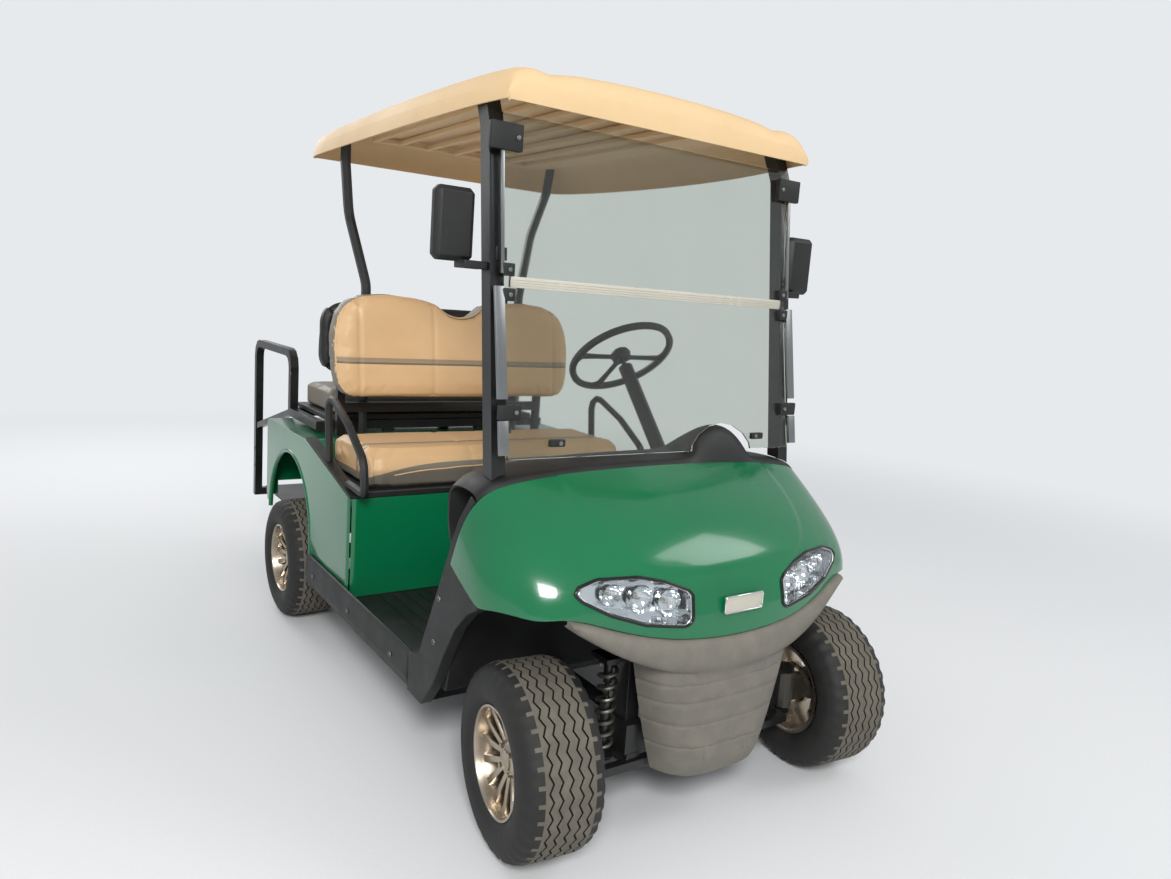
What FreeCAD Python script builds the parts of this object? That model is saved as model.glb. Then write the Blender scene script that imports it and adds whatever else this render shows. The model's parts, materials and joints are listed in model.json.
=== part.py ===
"""Golf cart with a front bench and a rear-facing flip seat, as a parametric FreeCAD document.

Millimetres. The cart faces -Y, its left (driver's) side is +X, and it stands on Z = 0.
"""
import FreeCAD, Part
import math
import os

import Sketcher

V = FreeCAD.Vector
UP = V(0, 0, 1)

doc = FreeCAD.newDocument("golf_cart")
sheet = doc.addObject("Spreadsheet::Sheet", "Sizes")

# alias, value in mm or degrees, what it is
SIZES = (
    ("overall_length", 2770, "front tyre to the rear grab frame"),
    ("rear_overhang", 848.663, "rear axle to the rear grab frame"),
    ("front_track", 933, "between the middles of the front tyres"),
    ("rear_track", 1000, "between the middles of the rear tyres"),
    ("tyre_radius", 222, "axle height on the loaded tyre"),
    ("tyre_width", 205, "sidewall to sidewall"),
    ("tyre_crown", 120, "flat width of the tread"),
    ("rim_radius", 128, "bead seat"),
    ("rim_width", 176, "rim lip to rim lip"),
    ("rim_wall", 7, "rim barrel"),
    ("hub_radius", 46, "wheel hub"),
    ("hub_face", 54, "outer face of the hub from the wheel's middle"),
    ("spoke_pairs", 7, "twin spokes of a wheel"),
    ("spindle_radius", 15, "wheel spindle"),
    ("running_gap", 0.06, "radial clearance of spindles and pins"),
    ("steer_rest", 6.4, "how far the parked wheels point to the right, degrees"),
    ("scrub", 90, "kingpin to the middle of the tyre"),
    ("kingpin_radius", 12, "kingpin"),
    ("knuckle_radius", 26, "knuckle barrel"),
    ("knuckle_height", 104, "knuckle barrel"),
    ("rail_width", 56, "frame rail"),
    ("rail_height", 76, "frame rail"),
    ("rail_spacing", 400, "between the rails' middles"),
    ("rail_low", 190, "underside of the front rails"),
    ("kick_up", 176, "rise of the rails over the rear axle"),
    ("floor_thickness", 16, "floor pan"),
    ("floor_half_width", 541, "floor pan"),
    ("body_half_width", 560, "rear body side"),
    ("sill_half_width", 578, "outer face of the sills"),
    ("sill_height", 92, "sill"),
    ("panel", 6, "moulded body panel"),
    ("seat_front", 682, "front edge of the battery bay ahead of the rear axle"),
    ("bay_height", 606, "top of the battery bay"),
    ("body_tail", 320, "rear wall of the body behind the rear axle"),
    ("arch_radius", 272, "rear wheel arch"),
    ("arch_centre", 362, "height of the rear arch centre"),
    ("cowl_top", 860, "rear edge of the hood"),
    ("cowl_nose", 168, "nose of the cowl ahead of the front axle"),
    ("front_arch_radius", 255, "front wheel arch"),
    ("skirt_low", 152, "underside of the skirt"),
    ("windshield_half_width", 474, "clear sheets"),
    ("windshield_thickness", 5, "clear sheets"),
    ("windshield_low", 866, "lower edge"),
    ("windshield_seam", 1302, "seam of the two sheets"),
    ("windshield_high", 1688, "upper edge"),
    ("strut_width", 38, "roof strut"),
    ("strut_depth", 44, "roof strut"),
    ("strut_half_gap", 484, "centre plane to a front strut's middle"),
    ("roof_half_width", 546, "widest place of the roof"),
    ("roof_length", 1432, "front edge to rear edge"),
    ("roof_edge", 1694, "lower rim of the roof"),
    ("roof_rim", 64, "height of the roof's rim"),
    ("roof_crown", 30, "rise of the roof's top above its rim"),
    ("roof_wall", 5, "roof moulding"),
    ("cushion_half_width", 512, "front cushion"),
    ("cushion_low", 628, "underside of the front cushion"),
    ("cushion_thickness", 124, "front cushion"),
    ("cushion_depth", 436, "front cushion"),
    ("back_low", 866, "lower edge of the front backrest"),
    ("back_high", 1254, "top of the front backrest"),
    ("back_thickness", 92, "front backrest"),
    ("back_half_width", 500, "front backrest"),
    ("rear_seat_height", 868, "top of the rear cushion"),
    ("rear_cushion_thickness", 88, "rear cushion"),
    ("rear_cushion_depth", 400, "rear cushion"),
    ("rear_cushion_half_width", 440, "rear cushion"),
    ("hoop_tube", 32, "square tube of the rear frame"),
    ("hoop_half_width", 472, "centre plane to a grab hoop"),
    ("hoop_height", 1000, "top of the grab hoops"),
    ("foot_plate_height", 300, "top of the rear foot plate"),
    ("steering_wheel_radius", 174, "to the middle of the rim"),
    ("steering_rim_radius", 13, "rim of the steering wheel"),
    ("column_angle", 49, "column above the horizontal, degrees"),
    ("driver_x", 272, "driver's centre line"),
)
for row, (alias, number, words) in enumerate(SIZES, start=1):
    sheet.set(f"A{row}", words)
    sheet.set(f"B{row}", str(number))
    sheet.setAlias(f"B{row}", alias)
doc.recompute()


class Size:
    """A number that keeps the sheet formula it comes from, so that sketches can be bound to it."""

    def __init__(self, number, formula):
        self.number = float(number)
        self.formula = formula

    def __float__(self):
        return self.number

    def __add__(self, other):
        return Size(self.number + float(other), f"({self.formula} + {formula_of(other)})")

    def __radd__(self, other):
        return Size(float(other) + self.number, f"({formula_of(other)} + {self.formula})")

    def __sub__(self, other):
        return Size(self.number - float(other), f"({self.formula} - {formula_of(other)})")

    def __rsub__(self, other):
        return Size(float(other) - self.number, f"({formula_of(other)} - {self.formula})")

    def __mul__(self, other):
        return Size(self.number * float(other), f"({self.formula} * {formula_of(other)})")

    def __rmul__(self, other):
        return Size(float(other) * self.number, f"({formula_of(other)} * {self.formula})")

    def __truediv__(self, other):
        return Size(self.number / float(other), f"({self.formula} / {formula_of(other)})")

    def __neg__(self):
        return Size(-self.number, f"(-1 * {self.formula})")


def formula_of(value):
    """The sheet formula of a size, or the plain number."""
    return value.formula if isinstance(value, Size) else repr(float(value))


class Sheet:
    """The driving sizes by name."""


dim = Sheet()
for alias, number, words in SIZES:
    setattr(dim, alias, Size(sheet.get(alias), f"Sizes.{alias}"))


def cosine(angle):
    return Size(math.cos(math.radians(angle)), f"cos({formula_of(angle)})")


def sine(angle):
    return Size(math.sin(math.radians(angle)), f"sin({formula_of(angle)})")


# Stations along the cart. The origin is the middle of its length, so the axles follow from the
# reach of the turned left front tyre.
tyre_reach = (dim.tyre_radius * cosine(dim.steer_rest)
              + (dim.tyre_crown / 2 + dim.scrub) * sine(dim.steer_rest))
front_axle = tyre_reach - dim.overall_length / 2
tail = dim.overall_length / 2
rear_axle = tail - dim.rear_overhang
middle = (front_axle + rear_axle) / 2
kingpin_x = dim.front_track / 2 - dim.scrub
floor_top = dim.rail_low + dim.rail_height + dim.floor_thickness
bay_front = rear_axle - dim.seat_front
body_rear = rear_axle + dim.body_tail
bay_top = dim.bay_height

parts = []


def keep(part):
    """List a finished sub-part for the checks and the files."""
    parts.append(part)
    return part


def bind(target, path, value):
    """Bind one property of an object to a size, or set a plain number."""
    target.setExpression(path, formula_of(value))


def place(part, x=0, y=0, z=0):
    """Bind a part's place to sizes."""
    for axis, value in zip("xyz", (x, y, z)):
        if isinstance(value, Size) or value:
            bind(part, f"Placement.Base.{axis}", value)
    return part


def new_body(label):
    return doc.addObject("PartDesign::Body", label)


def sketch_on(body, name, plane, offset=0):
    """A sketch on one of the body's own origin planes, moved along the plane's normal."""
    sketch = body.newObject("Sketcher::SketchObject", name)
    support = [item for item in body.Origin.OriginFeatures if item.Role == plane][0]
    sketch.AttachmentSupport = [(support, "")]
    sketch.MapMode = "FlatFace"
    if isinstance(offset, Size) or offset:
        bind(sketch, "AttachmentOffset.Base.z", offset)
    return sketch


def draw_polygon(sketch, points):
    """A closed outline whose corners are bound to sizes."""
    first = sketch.GeometryCount
    count = len(points)
    corners = [V(float(across), float(up), 0) for across, up in points]
    for index in range(count):
        line = Part.LineSegment(corners[index], corners[(index + 1) % count])
        sketch.addGeometry(line, False)
    for index in range(count):
        sketch.addConstraint(Sketcher.Constraint(
            "Coincident", first + index, 2, first + (index + 1) % count, 1))
    for index, point in enumerate(points):
        for kind, value in zip(("DistanceX", "DistanceY"), point):
            number = sketch.addConstraint(Sketcher.Constraint(
                kind, -1, 1, first + index, 1, float(value)))
            if isinstance(value, Size):
                bind(sketch, f"Constraints[{number}]", value)


def draw_circle(sketch, across, up, radius):
    """A circle whose centre and radius are bound to sizes."""
    index = sketch.addGeometry(
        Part.Circle(V(float(across), float(up), 0), V(0, 0, 1), float(radius)), False)
    for kind, value in (("DistanceX", across), ("DistanceY", up)):
        number = sketch.addConstraint(Sketcher.Constraint(kind, -1, 1, index, 3, float(value)))
        if isinstance(value, Size):
            bind(sketch, f"Constraints[{number}]", value)
    number = sketch.addConstraint(Sketcher.Constraint("Radius", index, float(radius)))
    if isinstance(radius, Size):
        bind(sketch, f"Constraints[{number}]", radius)


def pad(body, sketch, length, both_ways=False, backwards=False):
    """Add the sketch's extrusion to the body."""
    feature = body.newObject("PartDesign::Pad", f"{sketch.Name}_pad")
    feature.Profile = sketch
    bind(feature, "Length", length)
    if both_ways:
        feature.SideType = "Symmetric"
    feature.Reversed = backwards
    return feature


def pocket(body, sketch, length, both_ways=False, backwards=False):
    """Cut the sketch's extrusion out of the body, against the plane's normal unless backwards."""
    feature = body.newObject("PartDesign::Pocket", f"{sketch.Name}_pocket")
    feature.Profile = sketch
    bind(feature, "Length", length)
    if both_ways:
        feature.SideType = "Symmetric"
    feature.Reversed = backwards
    return feature


def revolve(body, sketch, axis="H_Axis"):
    """Turn the sketch a full turn about one of its own axes."""
    feature = body.newObject("PartDesign::Revolution", f"{sketch.Name}_turn")
    feature.Profile = sketch
    feature.ReferenceAxis = (sketch, [axis])
    feature.Angle = 360
    return feature


def edges_along(shape, direction, keep_edge=lambda edge: True):
    """Names of the straight edges that run along a direction."""
    names = []
    for index, edge in enumerate(shape.Edges, start=1):
        if edge.Curve.TypeId != "Part::GeomLine":
            continue
        run = edge.Curve.Direction
        if abs(abs(run.dot(direction)) - 1) < 1e-6 and keep_edge(edge):
            names.append(f"Edge{index}")
    return names


def round_edges(body, base, direction, radius, keep_edge=lambda edge: True):
    """Fillet the straight edges of the last feature that run along a direction."""
    doc.recompute()
    feature = body.newObject("PartDesign::Fillet", f"{base.Name}_round")
    feature.Base = (base, edges_along(base.Shape, direction, keep_edge))
    bind(feature, "Radius", radius)
    return feature


def side_profile(label, points, half_width, x=0, y=0, z=0, rounding=None):
    """A body padded across the cart, evenly about its own plane, from a side view (y, z)."""
    body = new_body(label)
    sketch = sketch_on(body, f"{label}_side", "YZ_Plane")
    draw_polygon(sketch, points)
    feature = pad(body, sketch, 2 * half_width, both_ways=True)
    if rounding is not None:
        round_edges(body, feature, V(1, 0, 0), rounding)
    return place(body, x, y, z)


def feature_of(label, shape):
    """A sub-part whose shape is worked out from the sheet's sizes."""
    part = doc.addObject("Part::Feature", label)
    part.Shape = shape
    return keep(part)


def mirrored(shape):
    """The same shape on the other side of the cart's centre plane."""
    return shape.mirror(V(0, 0, 0), V(1, 0, 0))


def both_sides(shape):
    return Part.makeCompound([shape, mirrored(shape)])


def corner_of(point):
    return V(*[float(value) for value in point])


def bent_path(points, radii, steps=3):
    """Corners of a path whose inner corners are rounded, each by a few short runs."""
    corners = [corner_of(point) for point in points]
    path = [corners[0]]
    for corner, following, radius in zip(corners[1:-1], corners[2:], radii):
        back = (path[-1] - corner).normalize()
        ahead = (following - corner).normalize()
        half = back.getAngle(ahead) / 2
        turn = math.pi - 2 * half
        centre = corner + (back + ahead).normalize() * (float(radius) / math.sin(half))
        first = corner + back * (float(radius) / math.tan(half)) - centre
        last = corner + ahead * (float(radius) / math.tan(half)) - centre
        for step in range(steps + 1):
            share = step / steps
            arm = first * math.sin((1 - share) * turn) + last * math.sin(share * turn)
            path.append(centre + arm * (1 / math.sin(turn)))
    path.append(corners[-1])
    return path


def solid_of(loops):
    """One closed solid from flat loops of corners."""
    sides = [Part.Face(Part.makePolygon(list(loop) + [loop[0]])) for loop in loops]
    shell = Part.Shell(sides)
    shell.sewShape()
    solid = Part.Solid(shell)
    if solid.Volume < 0:
        solid.reverse()
    return solid


def patch(*corners):
    """A four-cornered patch: one flat face, or two triangles where it is bent."""
    loop = [point for index, point in enumerate(corners)
            if (point - corners[index - 1]).Length > 1e-6]
    if len(loop) < 3:
        return []
    if len(loop) == 3:
        return [loop]
    across = (loop[2] - loop[0]).cross(loop[3] - loop[1])
    if abs((loop[1] - loop[0]).dot(across)) < 1e-7 * across.Length:
        return [loop]
    return [loop[:3], [loop[0], loop[2], loop[3]]]


def shell_between(outer, inner, kept=lambda row, column: True):
    """A thin solid between two grids of corners, its rim closed; unkept cells stay open."""
    cells = {(row, column) for row in range(len(outer) - 1)
             for column in range(len(outer[0]) - 1) if kept(row, column)}
    loops = []
    for row, column in sorted(cells):
        square = ((row, column), (row, column + 1), (row + 1, column + 1), (row + 1, column))
        beside = ((row - 1, column), (row, column + 1), (row + 1, column), (row, column - 1))
        loops += patch(*[outer[i][j] for i, j in square])
        loops += patch(*[inner[i][j] for i, j in square])
        for side, cell in enumerate(beside):
            if cell not in cells:
                (i, j), (k, m) = square[side], square[(side + 1) % 4]
                loops += patch(outer[i][j], outer[k][m], inner[k][m], inner[i][j])
    return solid_of(loops)


def inside_of(grid, depth, sign=1):
    """The grid moved along its own normals, to the side that the sign names."""
    moved = []
    for row in range(len(grid)):
        line = []
        for column in range(len(grid[0])):
            up, down = grid[max(row - 1, 0)][column], grid[min(row + 1, len(grid) - 1)][column]
            left = grid[row][max(column - 1, 0)]
            right = grid[row][min(column + 1, len(grid[0]) - 1)]
            normal = (right - left).cross(down - up).normalize()
            line.append(grid[row][column] + normal * (sign * float(depth)))
        moved.append(line)
    return moved


def turned(profile, count, centre=V(0, 0, 0), along=V(1, 0, 0)):
    """A ring or drum with flat facets, from closed (distance along, radius) corners."""
    across = V(0, 0, 1) if abs(along.z) < 0.9 else V(0, 1, 0)
    across = (across - along * across.dot(along)).normalize()
    other = along.cross(across)
    points = [(float(reach), float(radius)) for reach, radius in profile]

    def at(step, point):
        angle = 2 * math.pi * (step % count) / count
        arm = across * math.cos(angle) + other * math.sin(angle)
        return centre + along * point[0] + arm * point[1]

    loops = []
    for step in range(count):
        for point, following in zip(points, points[1:] + points[:1]):
            loops += patch(at(step, point), at(step, following), at(step + 1, following),
                           at(step + 1, point))
    return solid_of(loops)


def drum(radius, length, base, along=UP, count=10):
    """A round bar with flat facets."""
    across = V(0, 0, 1) if abs(along.z) < 0.9 else V(0, 1, 0)
    across = (across - along * across.dot(along)).normalize()
    other = along.cross(across)
    angles = [2 * math.pi * step / count for step in range(count)]
    ring = [base + (across * math.cos(angle) + other * math.sin(angle)) * float(radius)
            for angle in angles]
    return Part.Face(Part.makePolygon(ring + ring[:1])).extrude(along * float(length))


def round_section(radius, count=8, stretch=1):
    """Corners of a round section, as (across, other) from its middle."""
    angles = [2 * math.pi * (step + 0.5) / count for step in range(count)]
    return [(float(radius) * math.cos(angle), float(radius) * stretch * math.sin(angle))
            for angle in angles]


def square_section(width, depth):
    half, other = float(width) / 2, float(depth) / 2
    return [(half, other), (-half, other), (-half, -other), (half, -other)]


def swept(points, section, across=V(1, 0, 0)):
    """A bar with flat facets along a path, mitred at its corners."""
    path = [corner_of(point) for point in points]
    runs = [(following - point).normalize() for point, following in zip(path, path[1:])]
    across = (across - runs[0] * across.dot(runs[0])).normalize()
    other = runs[0].cross(across)
    ring = [path[0] + across * first + other * second for first, second in section]
    rings = [ring]
    for index, run in enumerate(runs):
        plane = run + runs[index + 1] if index + 1 < len(runs) else run
        foot = path[index + 1]
        ring = [point + run * ((foot - point).dot(plane) / run.dot(plane)) for point in ring]
        rings.append(ring)
    loops = [rings[0], rings[-1]]
    for low, high in zip(rings, rings[1:]):
        for index in range(len(section)):
            following = (index + 1) % len(section)
            loops.append([low[index], low[following], high[following], high[index]])
    return solid_of(loops)


def plate(outline, left, right):
    """A plate across the cart between two planes, from a side view (y, z)."""
    corners = [corner_of((left, y, z)) for y, z in outline]
    return Part.Face(Part.makePolygon(corners + corners[:1])).extrude(
        V(float(right) - float(left), 0, 0))


def box(low, high):
    """A plain block between two corners."""
    size = [float(top) - float(bottom) for bottom, top in zip(low, high)]
    return Part.makeBox(*size, V(*[float(value) for value in low]))


def fused(shapes):
    """The shapes as one solid."""
    return shapes[0].fuse(list(shapes[1:])).removeSplitter()


# Wheels: an alloy rim with twin spokes, and a tyre ring on it
wheel_facets = 28


def rim_shape():
    """Rim in its own frame: the axle along X, the outer face towards +X."""
    half = dim.rim_width / 2
    bead = dim.rim_radius
    inner = bead - dim.rim_wall
    face = dim.hub_face
    barrel = turned([(-half, bead), (half, bead), (half, inner), (-half, inner)], wheel_facets)
    turn_half = 180 / wheel_facets
    hub = turned([(-22, 0), (-22, dim.hub_radius), (face - 6, dim.hub_radius),
                  (face, dim.hub_radius * 0.55), (face, 0)], 14)
    hub.rotate(V(0, 0, 0), V(1, 0, 0), turn_half)
    root = float(dim.hub_radius) - 4
    tip = float(inner) + 3
    spokes = []
    for turn in range(int(float(dim.spoke_pairs))):
        for side in (-1, 1):
            outline = [(side * root * 0.08, root * 0.9), (side * root * 0.44, root * 0.86),
                       (side * tip * 0.25, tip * 0.96), (side * tip * 0.12, tip * 0.985)]
            corners = [V(float(face) - 26, y, z) for y, z in outline]
            spoke = Part.Face(Part.makePolygon(corners + corners[:1])).extrude(V(20, 0, 0))
            spoke.rotate(V(0, 0, 0), V(1, 0, 0),
                         turn_half + 360 * turn / float(dim.spoke_pairs))
            spokes.append(spoke)
    solid = barrel.fuse([hub] + spokes)
    bore = Part.makeCylinder(dim.spindle_radius + dim.running_gap, float(face) - 18 + 23,
                             V(-23, 0, 0), V(1, 0, 0))
    return solid.cut(bore).removeSplitter().Solids[0]


def tyre_shape():
    """Tyre in the rim's frame, closed against the rim's barrel."""
    half = dim.tyre_width / 2
    crown = dim.tyre_crown / 2
    tread = dim.tyre_radius
    bead = dim.rim_radius + 0.2
    right = [(crown, tread), (half - 8, tread - 17), (half - 1, bead + 30),
             (dim.rim_width / 2 - 3, bead)]
    left = [(-across, up) for across, up in reversed(right)]
    return turned(right + left, wheel_facets)


rim_solid = rim_shape()
tyre_solid = tyre_shape()


def make_rim(label):
    return feature_of(label, rim_solid.copy())


def make_tyre(label):
    return feature_of(label, tyre_solid.copy())


def turn_to(part, x, y, angle, flipped, arm=0):
    """Set a wheel part at its corner, steered about the kingpin, its face outwards."""
    side = 180 if flipped else 0
    turned = FreeCAD.Rotation(UP, -float(angle))
    place(part, x, y, dim.tyre_radius)
    part.Placement.Rotation = turned * FreeCAD.Rotation(UP, side)
    return part


# Front wheels steer about the kingpins, so their middles lie on a turned arm of the scrub length
corner_table = (
    ("front_left", kingpin_x + dim.scrub * cosine(dim.steer_rest),
     front_axle - dim.scrub * sine(dim.steer_rest), dim.steer_rest, False),
    ("front_right", -kingpin_x - dim.scrub * cosine(dim.steer_rest),
     front_axle + dim.scrub * sine(dim.steer_rest), dim.steer_rest, True),
    ("rear_left", dim.rear_track / 2, rear_axle, 0, False),
    ("rear_right", -dim.rear_track / 2, rear_axle, 0, True),
)
for name, x, y, angle, flipped in corner_table:
    turn_to(make_rim(f"rim_{name}"), x, y, angle, flipped)
    turn_to(make_tyre(f"tyre_{name}"), x, y, angle, flipped)


# Knuckles: barrel on the kingpin, spindle into the hub, steering arm to the rear
def make_knuckle(label, flipped):
    """Knuckle in its own frame: the kingpin is the Z axis, the spindle points to +X."""
    barrel_half = dim.knuckle_height / 2
    barrel = drum(dim.knuckle_radius, dim.knuckle_height, V(0, 0, -float(barrel_half)))
    flange = drum(38, 16, V(float(dim.scrub) - 22 - 18, 0, 0), V(1, 0, 0))
    web = box((0, -20, -34), (float(dim.scrub) - 36, 20, 34))
    arm_end_x = -20
    arm_end_y = 112
    arm = Part.Face(Part.makePolygon([
        V(-10, 0, -42), V(10, 0, -42), V(arm_end_x + 9, arm_end_y, -42),
        V(arm_end_x - 9, arm_end_y, -42), V(-10, 0, -42)])).extrude(V(0, 0, 18))
    arm_end = drum(13, 18, V(arm_end_x, arm_end_y, -42), UP, 8)
    spindle_start = float(dim.scrub) - 30
    spindle_end = dim.scrub + dim.hub_face - 18 - 4
    spindle = Part.makeCylinder(dim.spindle_radius, spindle_end - spindle_start,
                                V(spindle_start, 0, 0), V(1, 0, 0))
    solid = fused([barrel, web, flange, spindle, arm, arm_end])
    solid = solid.cut(Part.makeCylinder(dim.kingpin_radius + dim.running_gap,
                                        dim.knuckle_height + 2, V(0, 0, -barrel_half - 1)))
    if flipped:
        solid = mirrored(solid)
    part = feature_of(label, solid)
    side = -1 if flipped else 1
    place(part, side * kingpin_x, front_axle, dim.tyre_radius)
    part.Placement.Rotation = FreeCAD.Rotation(UP, -float(dim.steer_rest))
    return part


make_knuckle("knuckle_left", False)
make_knuckle("knuckle_right", True)

# Chassis: two rails that kick up over the rear axle, with cross members
rail_top = dim.rail_low + dim.rail_height
high_top = rail_top + dim.kick_up
frame_front = front_axle - 48
kick_start = rear_axle - 370
kick_end = rear_axle - 312
frame_rear = body_rear - dim.panel - 6


def make_chassis():
    """Frame with its rails, cross members and the front crash bar."""
    side = [(frame_front, dim.rail_low), (kick_start, dim.rail_low),
            (kick_end, dim.rail_low + dim.kick_up), (frame_rear, dim.rail_low + dim.kick_up),
            (frame_rear, high_top), (kick_end - 24, high_top), (kick_start - 24, rail_top),
            (frame_front, rail_top)]
    corners = [V(0, float(y), float(z)) for y, z in side]
    face = Part.Face(Part.makePolygon(corners + corners[:1]))
    shapes = []
    for middle_x in (-dim.rail_spacing / 2, dim.rail_spacing / 2):
        rail = face.extrude(V(float(dim.rail_width), 0, 0))
        rail.translate(V(float(middle_x) - float(dim.rail_width) / 2, 0, 0))
        shapes.append(rail)
    half = dim.rail_spacing / 2
    # y middle, underside, depth and height of each cross member, and how far it reaches out
    members = (
        (front_axle - 28, dim.rail_low, 40, 60, half),
        (front_axle - 114, dim.rail_low + 6, 28, 54, 120),
        (middle - 420, dim.rail_low + 8, 40, 52, dim.floor_half_width - 3),
        (middle + 60, dim.rail_low + 8, 40, 52, dim.floor_half_width - 3),
        (kick_start - 60, dim.rail_low + 8, 40, 52, half),
        (rear_axle - 250, dim.rail_low + dim.kick_up + 8, 40, 52, half),
        (frame_rear - 20, dim.rail_low + dim.kick_up, 40, 60, half + 60),
    )
    for y, low, depth, height, reach in members:
        shapes.append(box((-reach, y - depth / 2, low), (reach, y + depth / 2, low + height)))
    for side in (-1, 1):
        left, right = sorted((side * 78, side * 118))
        shapes.append(box((left, front_axle - 114, dim.rail_low + 8),
                          (right, front_axle - 28, dim.rail_low + 52)))
    return feature_of("chassis_frame", fused(shapes))


make_chassis()

# Battery pack: one plain block in the bay
battery = keep(doc.addObject("Part::Box", "battery_pack"))
bind(battery, "Length", 2 * (dim.body_half_width - 190))
battery.Width = 276
bind(battery, "Height", bay_top - floor_top - 46)
place(battery, -(dim.body_half_width - 190), bay_front + 10, floor_top + 0.3)

# Floor: flat pan with a toe board up to the dash
toe_foot = front_axle + 306
toe_head = front_axle + 262
dash_low = 486
floor_low = floor_top - dim.floor_thickness
floor_pan = side_profile("floor_pan", [
    (toe_foot, floor_low + 0.3), (kick_start - 24, floor_low + 0.3), (kick_start - 24, floor_top),
    (toe_foot + 14, floor_top), (toe_head + 14, dash_low), (toe_head, dash_low)],
    dim.floor_half_width)
keep(floor_pan)

# Sills: rounded rocker panels along the floor
body_low = floor_top + 2
sill_front = middle - 372
sill_rear = rear_axle - dim.arch_radius - 16
sill_low = 214
sill_top = sill_low + dim.sill_height
sill_lip = dim.body_half_width + 0.3
sill_section = [(dim.floor_half_width + 0.3, sill_low + 14), (dim.sill_half_width - 6, sill_low),
                (dim.sill_half_width, sill_low + 30), (dim.sill_half_width - 3, sill_top - 2),
                (dim.sill_half_width - 9, sill_top + 12), (sill_lip, sill_top + 12),
                (sill_lip, body_low - 0.3), (dim.floor_half_width + 0.3, body_low - 0.3)]
corners = [V(float(x), float(sill_front), float(z)) for x, z in sill_section]
sill = Part.Face(Part.makePolygon(corners + corners[:1])).extrude(
    V(0, float(sill_rear - sill_front), 0))
feature_of("sills", both_sides(sill))

# Front cowl: hood and fenders as one thin moulding, open below and behind.
# Each line runs from the low edge over two guides to the rear edge: x, y from the front axle, height
hood = dim.cowl_top
nose = -dim.cowl_nose
COWL = (
    ((0, nose, 510), (0, nose - 3, 655), (0, nose + 50, 762), (0, 150, hood)),
    ((75, nose + 1.5, 511), (75, nose - 2, 655), (75, nose + 52, 761), (76, 150, hood)),
    ((148, nose + 8, 516), (148, nose + 5, 653), (148, nose + 58, 759), (152, 150, hood - 1.5)),
    ((215, nose + 18, 524), (216, nose + 15, 650), (216, nose + 68, 755), (226, 151, hood - 3.5)),
    ((285, nose + 33, 538), (287, nose + 30, 648), (287, nose + 84, 748), (300, 152, hood - 7)),
    ((350, nose + 52, 556), (353, nose + 49, 645), (354, nose + 106, 740), (370, 154, hood - 12)),
    ((410, nose + 71, 575), (414, nose + 70, 640), (414, nose + 132, 730), (432, 158, hood - 20)),
    ((460, nose + 88, 583), (468, nose + 92, 640), (468, nose + 160, 722), (484, 166, hood - 30)),
    ((505, nose + 110, 575), (516, nose + 118, 640), (514, nose + 194, 714), (524, 180, hood - 48)),
    ((540, -14, 580), (556, -6, 640), (550, 66, 705), (552, 196, hood - 85)),
    ((562, 34, 578), (580, 40, 630), (574, 100, 690), (568, 208, hood - 130)),
    ((572, 72, 570), (586, 80, 610), (584, 130, 650), (575, 222, hood - 180)),
    ((575, 99, 565), (583, 130, 585), (582, 190, 610), (575, 245, hood - 235)),
)
COWL_STEPS = (0, 0.14, 0.3, 0.46, 0.64, 0.82, 1)


def cowl_point(line, share):
    """A point of one line of the cowl, at its share of the way up."""
    rest = 1 - share
    weights = (rest ** 3, 3 * rest * rest * share, 3 * rest * share * share, share ** 3)
    point = V(0, float(front_axle), 0)
    for weight, guide in zip(weights, line):
        point += corner_of(guide) * weight
    return point


cowl_grid = []
for share in COWL_STEPS:
    half_row = [cowl_point(line, share) for line in COWL]
    cowl_grid.append([V(-point.x, point.y, point.z) for point in reversed(half_row[1:])] + half_row)
middle_column = len(COWL) - 1


def lamp_prism(grow):
    """The left lamp's front view, run straight back: blunt inner end, pointed outer end."""
    points = [(163 - grow, 549 - grow), (149 - grow, 562), (146 - grow, 618), (158, 631 + grow),
              (214, 652 + grow), (278, 665 + grow), (372, 663 + grow), (418 + grow, 648 + grow / 2),
              (429 + grow, 634), (414 + grow, 619 - grow), (352, 588 - grow), (270, 562 - grow)]
    corners = [V(x, float(front_axle) - 230, z) for x, z in points]
    return Part.Face(Part.makePolygon(corners + corners[:1])).extrude(V(0, 320, 0))


def lamp_block(front, back):
    """The cowl's face round the left lamp, between two distances behind it."""
    rows = [line[middle_column + 1:middle_column + 9] for line in cowl_grid[:5]]
    return shell_between([[point + V(0, front, 0) for point in line] for line in rows],
                         [[point + V(0, back, 0) for point in line] for line in rows])


def make_cowl():
    """Hood and fenders, with both headlights let into their faces."""
    shell = shell_between(cowl_grid, inside_of(cowl_grid, dim.panel, -1))
    opening = lamp_prism(1)
    shell = shell.cut(Part.makeCompound([opening, mirrored(opening)]))
    feature_of("front_cowl", max(shell.Solids, key=lambda solid: solid.Volume))
    lens = lamp_block(0, 4).common(lamp_prism(0))
    bowl = lamp_block(4.3, 54).common(lamp_prism(0))
    bowl = bowl.cut(lamp_block(4, 46).common(lamp_prism(-6)))
    feature_of("headlight_lenses", both_sides(lens.Solids[0]))
    feature_of("headlight_housings", both_sides(max(bowl.Solids, key=lambda solid: solid.Volume)))


make_cowl()

# Quarter pieces: from the sill up to the windshield's foot, along the cowl's rear edge
quarter_inner = dim.floor_half_width + 0.3
quarter_outer = 574.6
seam = [(line[-1].y + 0.25, line[-1].z - 0.45) for line in cowl_grid]
arch_y = front_axle - 2
arch_z = 325


def arch_height(y):
    """Height of the front wheel arch at a station."""
    reach = float(y - arch_y)
    return arch_z + math.sqrt(float(dim.front_arch_radius) ** 2 - reach * reach)


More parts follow.
